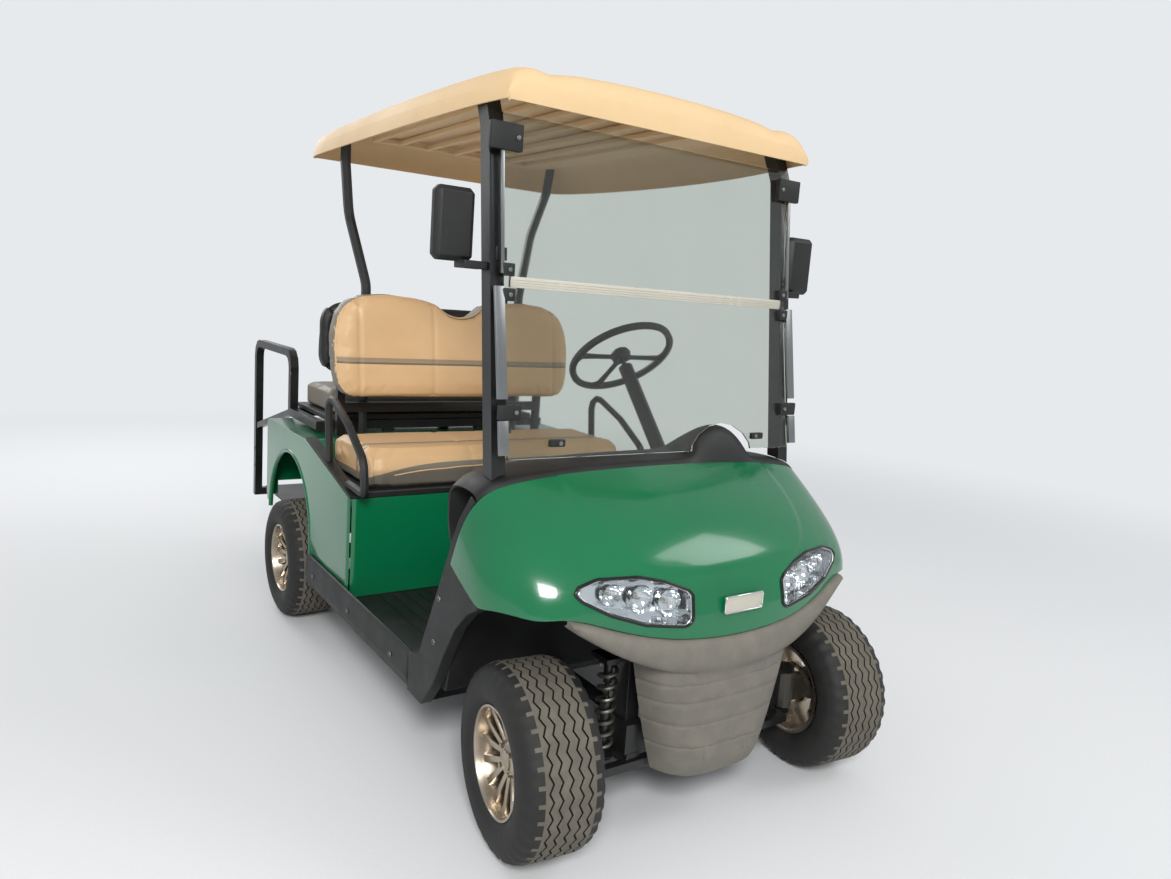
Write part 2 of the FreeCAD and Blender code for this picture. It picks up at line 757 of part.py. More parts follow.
def make_quarter():
    """Left quarter: a plate up from the sill, then a strip that leans in over the cowl's edge."""
    lower = [(sill_front - 0.3, sill_low - 6), (sill_front - 0.3, sill_top + 12),
             (front_axle + 412, sill_top + 20), (front_axle + 268, 628), (front_axle + 243, 686),
             (front_axle + 222.5, 680)]
    lower += list(reversed(seam))
    for reach in (99, 150, 205):
        lower.append((front_axle + reach, arch_height(front_axle + reach)))
    lower += [(front_axle + 262, 384), (front_axle + 310, 292), (front_axle + 380, sill_low - 8)]
    # front edge, rear edge and outer face of the strip, going up
    strip = (((222.5, 680), (243, 686), quarter_outer), ((209, 730), (228, 737), 567.5),
             ((197.6, 775), (217, 784), 550), ((192, 789), (212, 798), 546))
    rings = []
    for front, rear, outer in strip:
        rings.append([corner_of((x, front_axle + y, z)) for x, (y, z) in (
            (outer, front), (outer, rear), (quarter_inner, rear), (quarter_inner, front))])
    loops = [rings[0], rings[-1]]
    for low, high in zip(rings, rings[1:]):
        for index in range(4):
            following = (index + 1) % 4
            loops += patch(low[index], low[following], high[following], high[index])
    return fused([plate(lower, quarter_inner, quarter_outer), solid_of(loops)])


feature_of("quarters", both_sides(make_quarter()))

# Dash: cowl top with its pod, and the panel that leans away from the driver
dash_wall = 8
dash_rear = front_axle + 342
dash_half = float(dim.floor_half_width)
hood_edge = [(point.x, point.y, point.z) for point in cowl_grid[-1][middle_column:]]
pod_x = 211
pod_half = 106
pod_height = 84
DASH_X = (-1, -524, -484, -375, -200, 0, 100, 126, 168, 211, 254, 296, 322, 375, 484, 524, 1)
# share of the way back, rise above the hood's edge, share of the pod's height
DASH_ROWS = ((0, -1, 0), (0.05, 9, 0.3), (0.13, 14, 0.72), (0.26, 17, 0.98), (0.44, 19, 0.98),
             (0.84, 16, 0.34), (1, -8, 0.06))
# the panel that faces the driver, from below the top's rear edge: y from the front axle, height
DASH_FACE = ((344, 760), (338, 664), (272, 614), (252, 486.3))


def edge_at(x):
    """Station and height of the hood's rear edge at a distance from the centre plane."""
    reach = abs(x)
    for (x0, y0, z0), (x1, y1, z1) in zip(hood_edge, hood_edge[1:]):
        if reach <= x1:
            share = (reach - x0) / (x1 - x0)
            return y0 + share * (y1 - y0), z0 + share * (z1 - z0)
    return hood_edge[-1][1:]


def pod_rise(x):
    """Height of the pod above the cowl top."""
    reach = abs(x - pod_x) / pod_half
    return pod_height * math.sqrt(1 - reach * reach) if reach < 1 else 0


def make_dash():
    """Cowl top between the quarters, and the panel below it."""
    columns = [dash_half * x if abs(x) == 1 else x for x in DASH_X]
    grid = []
    for share, rise, pod in DASH_ROWS:
        line = []
        for x in columns:
            y, z = edge_at(x)
            station = y + 1.4 + share * (float(dash_rear) - y - 1.4)
            line.append(V(x, station, z + rise + pod * pod_rise(x)))
        grid.append(line)
    for y, z in DASH_FACE:
        grid.append([V(x, float(front_axle) + y, z) for x in columns])
    return feature_of("dash_panel", shell_between(grid, inside_of(grid, dash_wall, -1)))


dash = make_dash()

# Bumper: a bowed lip over a box skirt that narrows downwards
# x, y from the nose, top and underside of each station of the lip
LIP = ((0, 0, 509.5, 421), (75, 1.5, 510.5, 423), (148, 8, 515.5, 431), (215, 18, 523.5, 444),
       (285, 33, 537.5, 468), (350, 52, 555.5, 500), (410, 71, 574.5, 536), (446, 84, 580.5, 560))


def lip_ring(x, setback, top, low):
    """Section of the lip: a soft nose, hollow behind."""
    y = front_axle + nose + setback
    height = top - low
    outline = ((0, top), (-13, top - 0.1 * height), (-21, top - 0.42 * height),
               (-15, low + 0.16 * height), (-2, low), (18, low + 4), (10, low + 0.3 * height),
               (4, top - 0.3 * height), (10, top - 2))
    return [corner_of((x, y + across, z)) for across, z in outline]


def make_lip():
    """The lip from end to end."""
    half = [lip_ring(*station) for station in LIP]
    rings = [[V(-point.x, point.y, point.z) for point in ring] for ring in reversed(half[1:])] + half
    loops = [rings[0], rings[-1]]
    for ring, following in zip(rings, rings[1:]):
        for index in range(len(ring)):
            other = (index + 1) % len(ring)
            loops += patch(ring[index], ring[other], following[other], following[index])
    return solid_of(loops)


# height above the skirt's underside, then its plan from the centre out: x, y from the front axle
SKIRT = (
    (306, ((0, -168), (110, -166), (186, -152), (228, -118), (246, -67))),
    (210, ((0, -174), (100, -172), (166, -158), (204, -122), (224, -67))),
    (110, ((0, -174), (88, -172), (142, -158), (178, -122), (198, -67))),
    (30, ((0, -168), (74, -166), (122, -152), (156, -118), (172, -67))),
    (0, ((0, -156), (68, -154), (112, -142), (146, -112), (162, -67))),
)


def make_skirt():
    grid = []
    for rise, outline in SKIRT:
        half = [corner_of((x, front_axle + y, dim.skirt_low + rise)) for x, y in outline]
        grid.append([V(-point.x, point.y, point.z) for point in reversed(half[1:])] + half)
    return shell_between(grid, inside_of(grid, dim.panel, 1))


pads = [box((left, front_axle - 170, dim.rail_low + 10),
            (left + 30, front_axle - 128.3, dim.rail_low + 50)) for left in (-80, 50)]
feature_of("front_bumper", fused([make_lip(), make_skirt()] + pads))

# Front suspension: beam, lower arms, carriers with the kingpins
carrier_half = dim.knuckle_height / 2 + 3
tower_z = 428
coil_x = dim.rail_spacing / 2 + dim.rail_width / 2 + 34


def make_front_suspension():
    """Fixed front end: cross tower, arms and the C-shaped carriers that hold the kingpins."""
    shapes = [box((-coil_x - 30, front_axle - 34, tower_z), (coil_x + 30, front_axle + 34, tower_z + 12))]
    for side in (-1, 1):
        left, right = sorted((float(side * (dim.rail_spacing / 2 - 20)),
                              float(side * (dim.rail_spacing / 2 + 20))))
        shapes.append(box((left, front_axle - 30, rail_top + 0.3), (right, front_axle + 30, tower_z)))
    for side in (-1, 1):
        king = side * kingpin_x
        low = dim.tyre_radius - carrier_half
        high = dim.tyre_radius + carrier_half
        ear = 14
        inner = side * float(kingpin_x - 44)
        shapes.append(drum(24, ear, V(float(king), float(front_axle), float(low) - ear)))
        shapes.append(drum(24, ear, V(float(king), float(front_axle), float(high))))
        shapes.append(Part.makeCylinder(dim.kingpin_radius, high - low + 2 * ear - 4,
                                        V(float(king), float(front_axle), float(low) - ear + 2)))
        far = inner - side * 16
        left, right = sorted((inner, far))
        shapes.append(box((left, front_axle - 14, low - ear), (right, front_axle + 14, high + ear)))
        left, right = sorted((far, float(king)))
        for z in (low - ear, high):
            shapes.append(box((left, front_axle - 22, z), (right, front_axle + 22, z + ear)))
        arm_low = low - 10
        left, right = sorted((0, inner))
        shapes.append(box((left, front_axle - 60, arm_low - 4), (right, front_axle - 36, arm_low + 18)))
        shapes.append(box((left, front_axle + 36, arm_low - 4), (right, front_axle + 60, arm_low + 18)))
        left, right = sorted((float(side * (dim.rail_spacing / 2 - 20)),
                              float(side * (dim.rail_spacing / 2 + 20))))
        shapes.append(box((left, front_axle - 48, arm_low), (right, front_axle + 60, dim.rail_low - 0.3)))
        left, right = sorted((inner, far))
        shapes.append(box((left, front_axle - 60, arm_low - 4), (right, front_axle + 60, arm_low + 18)))
    return feature_of("front_suspension", fused(shapes))


make_front_suspension()

# Front coil-overs: damper with a coil around it, from the lower arm to the beam's end
coil_low = dim.tyre_radius - carrier_half + 8.3
coil_high = tower_z - 0.3


def make_coilovers():
    """Both front dampers with the coil round them as a pleated sleeve."""
    height = float(coil_high - coil_low)
    turns = 5
    profile = [(0, 0), (0, 28), (7, 28), (7, 17)]
    for turn in range(turns):
        level = 7 + (height - 14) * (turn + 0.5) / turns
        profile.append((level, 26))
        profile.append((level + (height - 14) / turns / 2, 17))
    profile += [(height - 7, 28), (height, 28), (height, 0)]
    centre = V(float(coil_x), float(front_axle), float(coil_low))
    return feature_of("coilovers", both_sides(turned(profile, 8, centre, UP)))


make_coilovers()


# Rear axle: tubes with brake drums, differential and the drive motor
def make_rear_axle():
    """Driven axle. Its spindles carry the rear wheels' hubs."""
    y = float(rear_axle)
    z = float(dim.tyre_radius)
    drum_out = dim.rear_track / 2 - 26
    reach = float(dim.rear_track / 2 + dim.hub_face - 22)
    right = V(1, 0, 0)
    shapes = [
        Part.makeCylinder(dim.spindle_radius, 2 * reach, V(-reach, y, z), right),
        drum(32, float(2 * drum_out) - 80, V(-float(drum_out) + 40, y, z), right, 8),
        turned([(0, 0), (0, 58), (26, 88), (118, 92), (146, 60), (146, 0)], 10,
               V(-56, y, z), right),
        drum(84, 220, V(-70, y + 130, z + 12), right, 12),
        box((-62, y, z - 40), (60, y + 130, z + 70)),
    ]
    for side in (-1, 1):
        face = V(float(side * drum_out), y, z)
        shapes.append(drum(86, 46, face, V(-side, 0, 0), 12))
        perch = float(side * dim.rail_spacing / 2)
        shapes.append(box((perch - 30, y - 46, z), (perch + 30, y + 46, z + 40)))
    return feature_of("rear_axle", fused(shapes))


make_rear_axle()

# Rear suspension: leaf packs on the perches, shackles to the rails, and dampers
leaf_top = dim.rail_low + dim.kick_up - 0.3


def leaf_strip(half, low, rise, thick, left, right):
    """One leaf as a bent strip in a few straight runs."""
    steps = 6
    lower = []
    for step in range(steps + 1):
        reach = half * (2 * step / steps - 1)
        lower.append((float(rear_axle) + reach, low + rise * (reach / half) ** 2))
    upper = [(y, z + thick) for y, z in reversed(lower)]
    return plate(lower + upper, left, right)


def make_rear_suspension():
    """Leaf springs bowed down to the axle, hung from the rails, with upright dampers."""
    y = float(rear_axle)
    seat_z = float(dim.tyre_radius) + 40.3
    end_z = float(leaf_top) - 54
    reach = 288
    lift = end_z - seat_z
    thick = 9
    side = float(dim.rail_spacing / 2)
    shapes = []
    for count, share in enumerate((1, 0.66, 0.36)):
        shapes.append(leaf_strip(reach * share, seat_z + count * thick, lift * share * share, thick,
                                 side - 24, side + 24))
    for end in (-reach, reach):
        shapes.append(drum(13, 56, V(side - 28, y + end, end_z + 4), V(1, 0, 0), 8))
        for cheek in (-34, 26):
            shapes.append(box((side + cheek, y + end - 14, end_z - 12),
                              (side + cheek + 8, y + end + 14, leaf_top)))
    damper_x = side + 96
    shapes.append(box((side - 34, y + 20, seat_z + 25), (damper_x + 16, y + 48, seat_z + 42)))
    shapes.append(drum(20, 90, V(damper_x, y + 34, seat_z + 40), UP, 8))
    shapes.append(drum(8, 60, V(damper_x, y + 34, seat_z + 126), UP, 6))
    return feature_of("rear_suspension", both_sides(fused(shapes)))


make_rear_suspension()

# Rear body: side panels with wheel arches, front wall, deck with the battery hatch
deck_break = rear_axle - 200
deck_high = bay_top + 110
well_half = dim.cushion_half_width + 8
tail_low = high_top + 12
side_low = 384
hatch_front = bay_front + 46
hatch_rear = rear_axle - 262


def make_rear_body():
    """Coloured rear body as one open-bottomed moulding."""
    body = new_body("rear_body")
    side = sketch_on(body, "body_side", "YZ_Plane")
    draw_polygon(side, [
        (bay_front, body_low), (rear_axle - 20, body_low), (body_rear - 12, side_low),
        (body_rear, side_low + 30),
        (body_rear, deck_high - 16), (body_rear - 16, deck_high),
        (deck_break, deck_high), (bay_front, bay_top)])
    block = pad(body, side, 2 * dim.body_half_width, both_ways=True)
    rounded = round_edges(body, block, UP, 26, lambda edge: edge.Vertexes[0].Y < float(bay_front) + 1)
    well = sketch_on(body, "seat_well", "YZ_Plane")
    draw_polygon(well, [(bay_front - 30, bay_top), (deck_break - 20, bay_top),
                        (deck_break - 4, deck_high + 40), (bay_front - 30, deck_high + 40)])
    pocket(body, well, 2 * well_half, both_ways=True)
    wall = dim.panel
    hollow = sketch_on(body, "hollow", "YZ_Plane")
    draw_polygon(hollow, [
        (bay_front + wall, body_low - 60), (body_rear - wall, body_low - 60),
        (body_rear - wall, deck_high - 18), (body_rear - 18, deck_high - wall),
        (deck_break + 4, deck_high - wall), (deck_break - 14, bay_top - wall),
        (bay_front + wall, bay_top - wall)])
    pocket(body, hollow, 2 * (dim.body_half_width - wall), both_ways=True)
    arch = sketch_on(body, "arch", "YZ_Plane")
    draw_circle(arch, rear_axle, dim.arch_centre, dim.arch_radius)
    pocket(body, arch, 2 * dim.body_half_width + 20, both_ways=True)
    leg = sketch_on(body, "arch_leg", "YZ_Plane")
    draw_polygon(leg, [(rear_axle - dim.arch_radius, body_low - 20),
                       (rear_axle + dim.arch_radius, body_low - 20),
                       (rear_axle + dim.arch_radius, dim.arch_centre),
                       (rear_axle - dim.arch_radius, dim.arch_centre)])
    pocket(body, leg, 2 * dim.body_half_width + 20, both_ways=True)
    notch = sketch_on(body, "tail_notch", "YZ_Plane")
    draw_polygon(notch, [(body_rear - 40, side_low - 60), (body_rear + 20, side_low - 60),
                         (body_rear + 20, tail_low), (body_rear - 40, tail_low)])
    pocket(body, notch, 2 * (dim.body_half_width - 44), both_ways=True)
    hatch = sketch_on(body, "hatch", "XY_Plane", bay_top + 20)
    half = dim.body_half_width - 150
    draw_polygon(hatch, [(-half, hatch_front), (half, hatch_front), (half, hatch_rear),
                         (-half, hatch_rear)])
    pocket(body, hatch, 60)
    return keep(body)


make_rear_body()

# Seat base: dark tray on the deck, with the same hatch
seat_base = new_body("seat_base")
tray = sketch_on(seat_base, "tray", "XY_Plane", bay_top + 0.3)
tray_rear = deck_break - 34
tray_front = bay_front + 4
tray_half = well_half - 2
draw_polygon(tray, [(-tray_half, tray_front), (tray_half, tray_front), (tray_half, tray_rear),
                    (-tray_half, tray_rear)])
pad(seat_base, tray, dim.cushion_low - bay_top - 0.6)
tray_hatch = sketch_on(seat_base, "tray_hatch", "XY_Plane", dim.cushion_low + 10)
hatch_half = dim.body_half_width - 150
draw_polygon(tray_hatch, [(-hatch_half, hatch_front), (hatch_half, hatch_front),
                          (hatch_half, hatch_rear), (-hatch_half, hatch_rear)])
pocket(seat_base, tray_hatch, 60)
keep(seat_base)

# Front cushion: wide pad with a rounded front, hinged along its rear lower edge
cushion_front = bay_front - 12
cushion_rear = cushion_front + dim.cushion_depth
front_cushion = side_profile("front_cushion", [
    (cushion_front + 26, dim.cushion_low), (cushion_rear, dim.cushion_low),
    (cushion_rear, dim.cushion_low + 30), (cushion_rear - 20, dim.cushion_low + 80),
    (cushion_rear - 60, dim.cushion_low + dim.cushion_thickness - 6),
    (cushion_rear - 110, dim.cushion_low + dim.cushion_thickness),
    (cushion_front + 60, dim.cushion_low + dim.cushion_thickness),
    (cushion_front + 12, dim.cushion_low + dim.cushion_thickness - 18),
    (cushion_front, dim.cushion_low + dim.cushion_thickness * 0.5)], dim.cushion_half_width)
keep(front_cushion)

# Front backrest: leaning pad above a gap, carried by two supports
back_foot = cushion_rear - 50
back_lean = 58
# front view of the left half from the dip in the middle: x, height above the backrest's low edge
HUMP = ((0, 320), (48, 326), (84, 352), (112, 374), (180, 384), (302, 390), (392, 378), (448, 352),
        (482, 306), (500, 236), (501, 132), (488, 50), (462, 14), (424, 0))


def make_backrest():
    """Two-humped pad that leans back, its rims drawn in front and behind."""
    low = float(dim.back_low)
    slope = back_lean / float(dim.back_high - dim.back_low)
    layers = []
    for depth, inset in ((0, 0.93), (16, 0.985), (40, 1), (float(dim.back_thickness) - 14, 1),
                         (float(dim.back_thickness), 0.96)):
        ring = []
        for side in (1, -1):
            for x, rise in (HUMP if side == 1 else tuple(reversed(HUMP[1:]))):
                x = side * x * float(dim.back_half_width) / 501 * inset
                height = 195 + (rise - 195) * inset
                ring.append(V(x, float(back_foot) + depth + slope * height, low + height))
        layers.append(ring)
    loops = [layers[0], layers[-1]]
    for ring, following in zip(layers, layers[1:]):
        for index in range(len(ring)):
            other = (index + 1) % len(ring)
            loops += patch(ring[index], ring[other], following[other], following[index])
    return feature_of("front_backrest", solid_of(loops))


make_backrest()

# Backrest supports: posts from the deck with a plate behind both backrests
support_x = 420
support_y = deck_break + 52
back_face_low = back_foot + dim.back_thickness
back_face_slope = back_lean / float(dim.back_high - dim.back_low)
rear_back_front = back_foot + dim.back_thickness + back_lean + 62


def make_backrest_supports():
    """Two posts, cross bars and the plates that both backrests are bolted to."""
    shapes = []
    plate_low = dim.back_low + 70
    plate_high = dim.back_high - 70
    for side in (-1, 1):
        left, right = sorted((side * (support_x - 14), side * (support_x + 14)))
        shapes.append(box((left, support_y - 12, deck_high + 0.3), (right, support_y + 12, plate_high)))
        left, right = sorted((side * (support_x - 4), side * (support_x + 4)))
        face = [(back_face_low + (z - dim.back_low) * back_face_slope + 0.3, z)
                for z in (plate_low, plate_high)]
        outline = face + [(rear_back_front - 0.3, plate_high), (rear_back_front - 0.3, plate_low)]
        corners = [V(left, float(y), float(z)) for y, z in outline]
        shapes.append(Part.Face(Part.makePolygon(corners + corners[:1])).extrude(V(right - left, 0, 0)))
    for z in (dim.back_low - 60, dim.back_high - 130):
        shapes.append(box((-support_x, support_y - 12, z), (support_x, support_y + 4, z + 36)))
    return feature_of("backrest_supports", fused(shapes))


make_backrest_supports()


# Hip restraints: curved side arms of the bench on their trays
def make_hip_restraint():
    """Left arm: up from the deck behind the cushion, down past it, and back to the tray's front."""
    x = (well_half + dim.body_half_width) / 2
    slope = float(deck_high - bay_top) / float(deck_break - bay_front)
    wing = [(bay_front + 2, bay_top + 0.8), (deck_break - 6, deck_high - 6 * slope + 0.3),
            (deck_break - 6, deck_high + 8), (bay_front + 2, bay_top + 10)]
    base = plate(wing, well_half + 1, dim.body_half_width - 1)
    path = bent_path(
        [(x, bay_front + 272, bay_top + 69), (x, bay_front + 300, bay_top + 308),
         (x, bay_front + 90, bay_top + 224), (x, bay_front - 58, bay_top + 132),
         (x, bay_front - 74, bay_top + 30), (x, bay_front + 70, bay_top + 36)],
        (44, 160, 60, 18))
    return fused([base, swept(path, round_section(13, 6))])


feature_of("hip_restraints", both_sides(make_hip_restraint()))

# Rear seat: deck that flips, cushion on it, backrest behind the front one
hinge_y = body_rear + 14
seat_under = dim.rear_seat_height - dim.rear_cushion_thickness
rear_seat_front = hinge_y - dim.rear_cushion_depth
rear_top = dim.rear_seat_height
rear_cushion = side_profile("rear_cushion", [
    (rear_seat_front + 6, seat_under), (hinge_y - 14, seat_under), (hinge_y - 14, rear_top - 26),
    (hinge_y - 38, rear_top), (rear_seat_front + 36, rear_top), (rear_seat_front + 6, rear_top - 30)],
    dim.rear_cushion_half_width)
keep(rear_cushion)
deck_thickness = 18
rear_deck = keep(doc.addObject("Part::Box", "rear_deck"))
bind(rear_deck, "Length", 2 * dim.rear_cushion_half_width + 8)
bind(rear_deck, "Width", dim.rear_cushion_depth - 8)
rear_deck.Height = deck_thickness
place(rear_deck, -dim.rear_cushion_half_width - 4, rear_seat_front, seat_under - deck_thickness - 0.3)

rear_backrest = side_profile("rear_backrest", [
    (rear_back_front, dim.back_low + 66), (rear_back_front + 46, dim.back_low + 50),
    (rear_back_front + 60, dim.back_low + 80), (rear_back_front + 44, dim.back_high - 50),
    (rear_back_front + 24, dim.back_high - 26), (rear_back_front, dim.back_high - 40)],
    dim.back_half_width - 4)
keep(rear_backrest)

# Rear frame: square tubes that carry the seat, the foot plate and the grab hoops
frame_z = dim.foot_plate_height - 24
hoop_rear = tail - dim.hoop_tube / 2
hoop_front = rear_axle + 277
base_z = seat_under - deck_thickness - dim.hoop_tube / 2 - 0.6


def make_rear_frame():
    """Grab hoops, seat rails and the bars down to the foot plate, each member a solid."""
    tube = dim.hoop_tube
    half = tube / 2
    x = dim.hoop_half_width
    seat = 0.3
    hoop = swept(bent_path(
        [(x, hoop_rear, frame_z), (x, hoop_rear, dim.hoop_height - half),
         (x, hoop_front, dim.hoop_height - half), (x, hoop_front, base_z + half + seat)],
        (60, 60)), square_section(tube, tube))
    brace = swept([(x, hoop_rear, 600), (x, hoop_front, base_z)],
                  square_section(tube * 0.8, tube * 0.8))
    brace = brace.common(box((0, hoop_front + half + seat, 500), (x + tube, hoop_rear - half - seat, 800)))
    rail = box((x - half, rear_seat_front - 20, base_z - half), (x + half, hoop_front + half, base_z + half))
    shapes = [hoop, brace, rail]
    inner = x - half - seat
    bars = [box((-inner, y - half, z - half), (inner, y + half, z + half)) for y, z in
            ((rear_seat_front, base_z), (hoop_front, base_z), (hoop_rear, frame_z + half))]
    for middle_x in (dim.rail_spacing / 2,):
        for y in (rear_seat_front, hoop_front):
            shapes.append(box((middle_x - 20, y - half, deck_high + 0.3),
                              (middle_x + 20, y + half, base_z - half - seat)))
        shapes.append(box((middle_x - 20, frame_rear + 12 + seat, frame_z),
                          (middle_x + 20, hoop_rear - half - seat, frame_z + tube)))
        shapes.append(box((middle_x - 20, frame_rear + 0.3, frame_z),
                          (middle_x + 20, frame_rear + 12, high_top)))
    tow_pin = Part.makeCylinder(8, tube + 2, V(0, float(hoop_rear), float(frame_z) - 1))
    bars[2] = bars[2].cut(tow_pin)
    return feature_of("rear_frame", Part.makeCompound(
        shapes + [mirrored(shape) for shape in shapes] + bars))


make_rear_frame()
foot_plate = keep(doc.addObject("Part::Box", "foot_plate"))
bind(foot_plate, "Length", 2 * (dim.hoop_half_width - dim.hoop_tube))
bind(foot_plate, "Width", hoop_rear - frame_rear - 60 - dim.hoop_tube / 2)
foot_plate.Height = 10
place(foot_plate, -(dim.hoop_half_width - dim.hoop_tube), frame_rear + 60,
      frame_z + dim.hoop_tube + 0.3)

# Windshield: two clear sheets that lean back, with a slight bend at the seam
glass_low_y = front_axle + 175
glass_seam_y = front_axle + 248
glass_high_y = front_axle + 291
glass_wall = dim.windshield_thickness
windshield_lower = side_profile("windshield_lower", [
    (glass_low_y, dim.windshield_low + 22), (glass_low_y + glass_wall, dim.windshield_low + 22),
    (glass_seam_y + glass_wall, dim.windshield_seam - 0.3), (glass_seam_y, dim.windshield_seam - 0.3)],
    dim.windshield_half_width)
over_pod = sketch_on(windshield_lower, "over_pod", "XZ_Plane")
draw_polygon(over_pod, [(pod_x - 116, dim.windshield_low - 10), (pod_x - 108, dim.windshield_low + 38),
                        (pod_x - 84, dim.windshield_low + 66), (pod_x - 44, dim.windshield_low + 88),
                        (pod_x, dim.windshield_low + 96), (pod_x + 44, dim.windshield_low + 88),
                        (pod_x + 84, dim.windshield_low + 66), (pod_x + 108, dim.windshield_low + 38),
                        (pod_x + 116, dim.windshield_low - 10)])
pocket(windshield_lower, over_pod, 4000, both_ways=True)
keep(windshield_lower)
windshield_upper = side_profile("windshield_upper", [
    (glass_seam_y, dim.windshield_seam), (glass_seam_y + glass_wall, dim.windshield_seam),
    (glass_high_y + glass_wall, dim.windshield_high), (glass_high_y, dim.windshield_high)],
    dim.windshield_half_width)
keep(windshield_upper)

# Front struts: bars behind the sheets' edges, from the quarters to the roof
strut_gap = dim.strut_depth / 2 + glass_wall + 6


def make_front_struts():
    """Both front struts, with the clamps that hold the sheets, up to the roof's skin."""
    x = dim.strut_half_gap
    low_y = glass_low_y + strut_gap + 3
    bar = swept(bent_path([(x, low_y, hood - 60),
                           (x, glass_seam_y + strut_gap, dim.windshield_seam),
                           (x, glass_high_y + strut_gap, dim.roof_edge - 30),
                           (x, glass_high_y + strut_gap + 64, dim.roof_edge + 120)],
                          (900, 60)), square_section(dim.strut_width, dim.strut_depth))
    shapes = [bar]
    for z in (950, 1250, 1350, 1630):
        if z < float(dim.windshield_seam):
            share = (z - dim.windshield_low - 22) / (dim.windshield_seam - dim.windshield_low - 22)
            y = glass_low_y + share * (glass_seam_y - glass_low_y)
            slope = (glass_seam_y - glass_low_y) / float(dim.windshield_seam - dim.windshield_low - 22)
        else:
            share = (z - dim.windshield_seam) / (dim.windshield_high - dim.windshield_seam)
            y = glass_seam_y + share * (glass_high_y - glass_seam_y)
            slope = (glass_high_y - glass_seam_y) / float(dim.windshield_high - dim.windshield_seam)
        outline = [(y + glass_wall + 0.4, z), (y + glass_wall + 0.4 + slope * 30, z + 30),
                   (y + glass_wall + 24, z + 30), (y + glass_wall + 24, z)]
        corners = [V(float(dim.windshield_half_width) - 14, float(y), float(z)) for y, z in outline]
        shapes.append(Part.Face(Part.makePolygon(corners + corners[:1])).extrude(V(24, 0, 0)))
    bar = fused(shapes).cut(roof_skin).cut(dash.Shape.translated(V(0, 0, 0.3)))
    return feature_of("front_struts", both_sides(max(bar.Solids, key=lambda solid: solid.Volume)))


def make_rear_struts():
    """Rear struts that bow outwards from the backrest to the roof."""
    y = rear_axle - 116
    bar = swept(bent_path([(324, y, deck_high + 0.3), (324, y, 1276), (384, y + 38, 1525),
                           (418, y - 13, dim.roof_edge + 4), (424, y - 30, dim.roof_edge + 130)],
                          (160, 160, 100)), round_section(18, 6))
    bar = bar.cut(roof_skin)
    return feature_of("rear_struts", both_sides(max(bar.Solids, key=lambda solid: solid.Volume)))


# Roof: a shallow moulded tray turned over, its rim bowed in plan, a gutter inside each side rail
roof_front = front_axle + 238
# x, height above the rim's lower edge, of the left half
ROOF_ACROSS = ((0, 106), (200, 103), (372, 92), (406, 79), (448, 90), (490, 86),
               (524, 68), (545, 34), (546, 0))
# share of the length, then mm from there, narrowing, rise of the lower edge, share of the height, drop
ROOF_ALONG = (
    (0, 0, 58, 12, 0, 0), (0, -5, 54, 12, 0.5, 0), (0, 8, 54, 12, 1, 14), (0, 40, 48, 12, 1, 3),
    (0, 130, 34, 10, 1, 0), (0.2, 0, 14, 4, 1, -3), (0.42, 0, 0, 0, 1, -5), (0.7, 0, 8, 4, 1, -3),
    (1, -130, 26, 12, 1, 0), (1, -40, 42, 17, 1, 4), (1, -8, 50, 20, 1, 16), (1, 3, 52, 20, 0.5, 0),
    (1, 0, 56, 20, 0, 0))


def make_roof():
    """Roof shell, open below."""
    grid = []
    for share, shift, less, rise, height, drop in ROOF_ALONG:
        y = roof_front + dim.roof_length * share + shift
        scale = (dim.roof_half_width - less) / 546
        crown = dim.roof_crown + dim.roof_rim
        half = []
        for x, up in ROOF_ACROSS:
            level = dim.roof_edge + rise + height * up * crown / 94 - (drop if up > 34 else drop * up / 34)
            half.append(corner_of((scale * x, y, level)))
        grid.append([V(-point.x, point.y, point.z) for point in reversed(half[1:])] + half)
    return feature_of("roof", shell_between(grid, inside_of(grid, dim.roof_wall, 1)))


roof_skin = make_roof().Shape.translated(V(0, 0, -0.3))
make_front_struts()
make_rear_struts()

# Mirrors: rounded housings on brackets at the front struts
def make_mirror():
    """Left mirror with its arm; the glass faces the driver."""
    x = dim.strut_half_gap + dim.strut_width / 2
    y = front_axle + 320
    z = 1424
    shell = box((x + 26, y - 30, z - 84), (x + 126, y + 12, z + 84))
    shell = shell.makeChamfer(12, shell.Edges)
    arm = box((x + 0.3, y - 50, z - 98), (x + 60, y + 8, z - 80))
    return fused([shell, arm])


feature_of("mirrors", both_sides(make_mirror()))


# Steering: column from the dash to the wheel, and the wheel with three spokes
wheel_centre = (dim.driver_x, middle - 82, 1096)
axis = V(0, -math.cos(math.radians(dim.column_angle)), -math.sin(math.radians(dim.column_angle)))
centre = V(*[float(value) for value in wheel_centre])


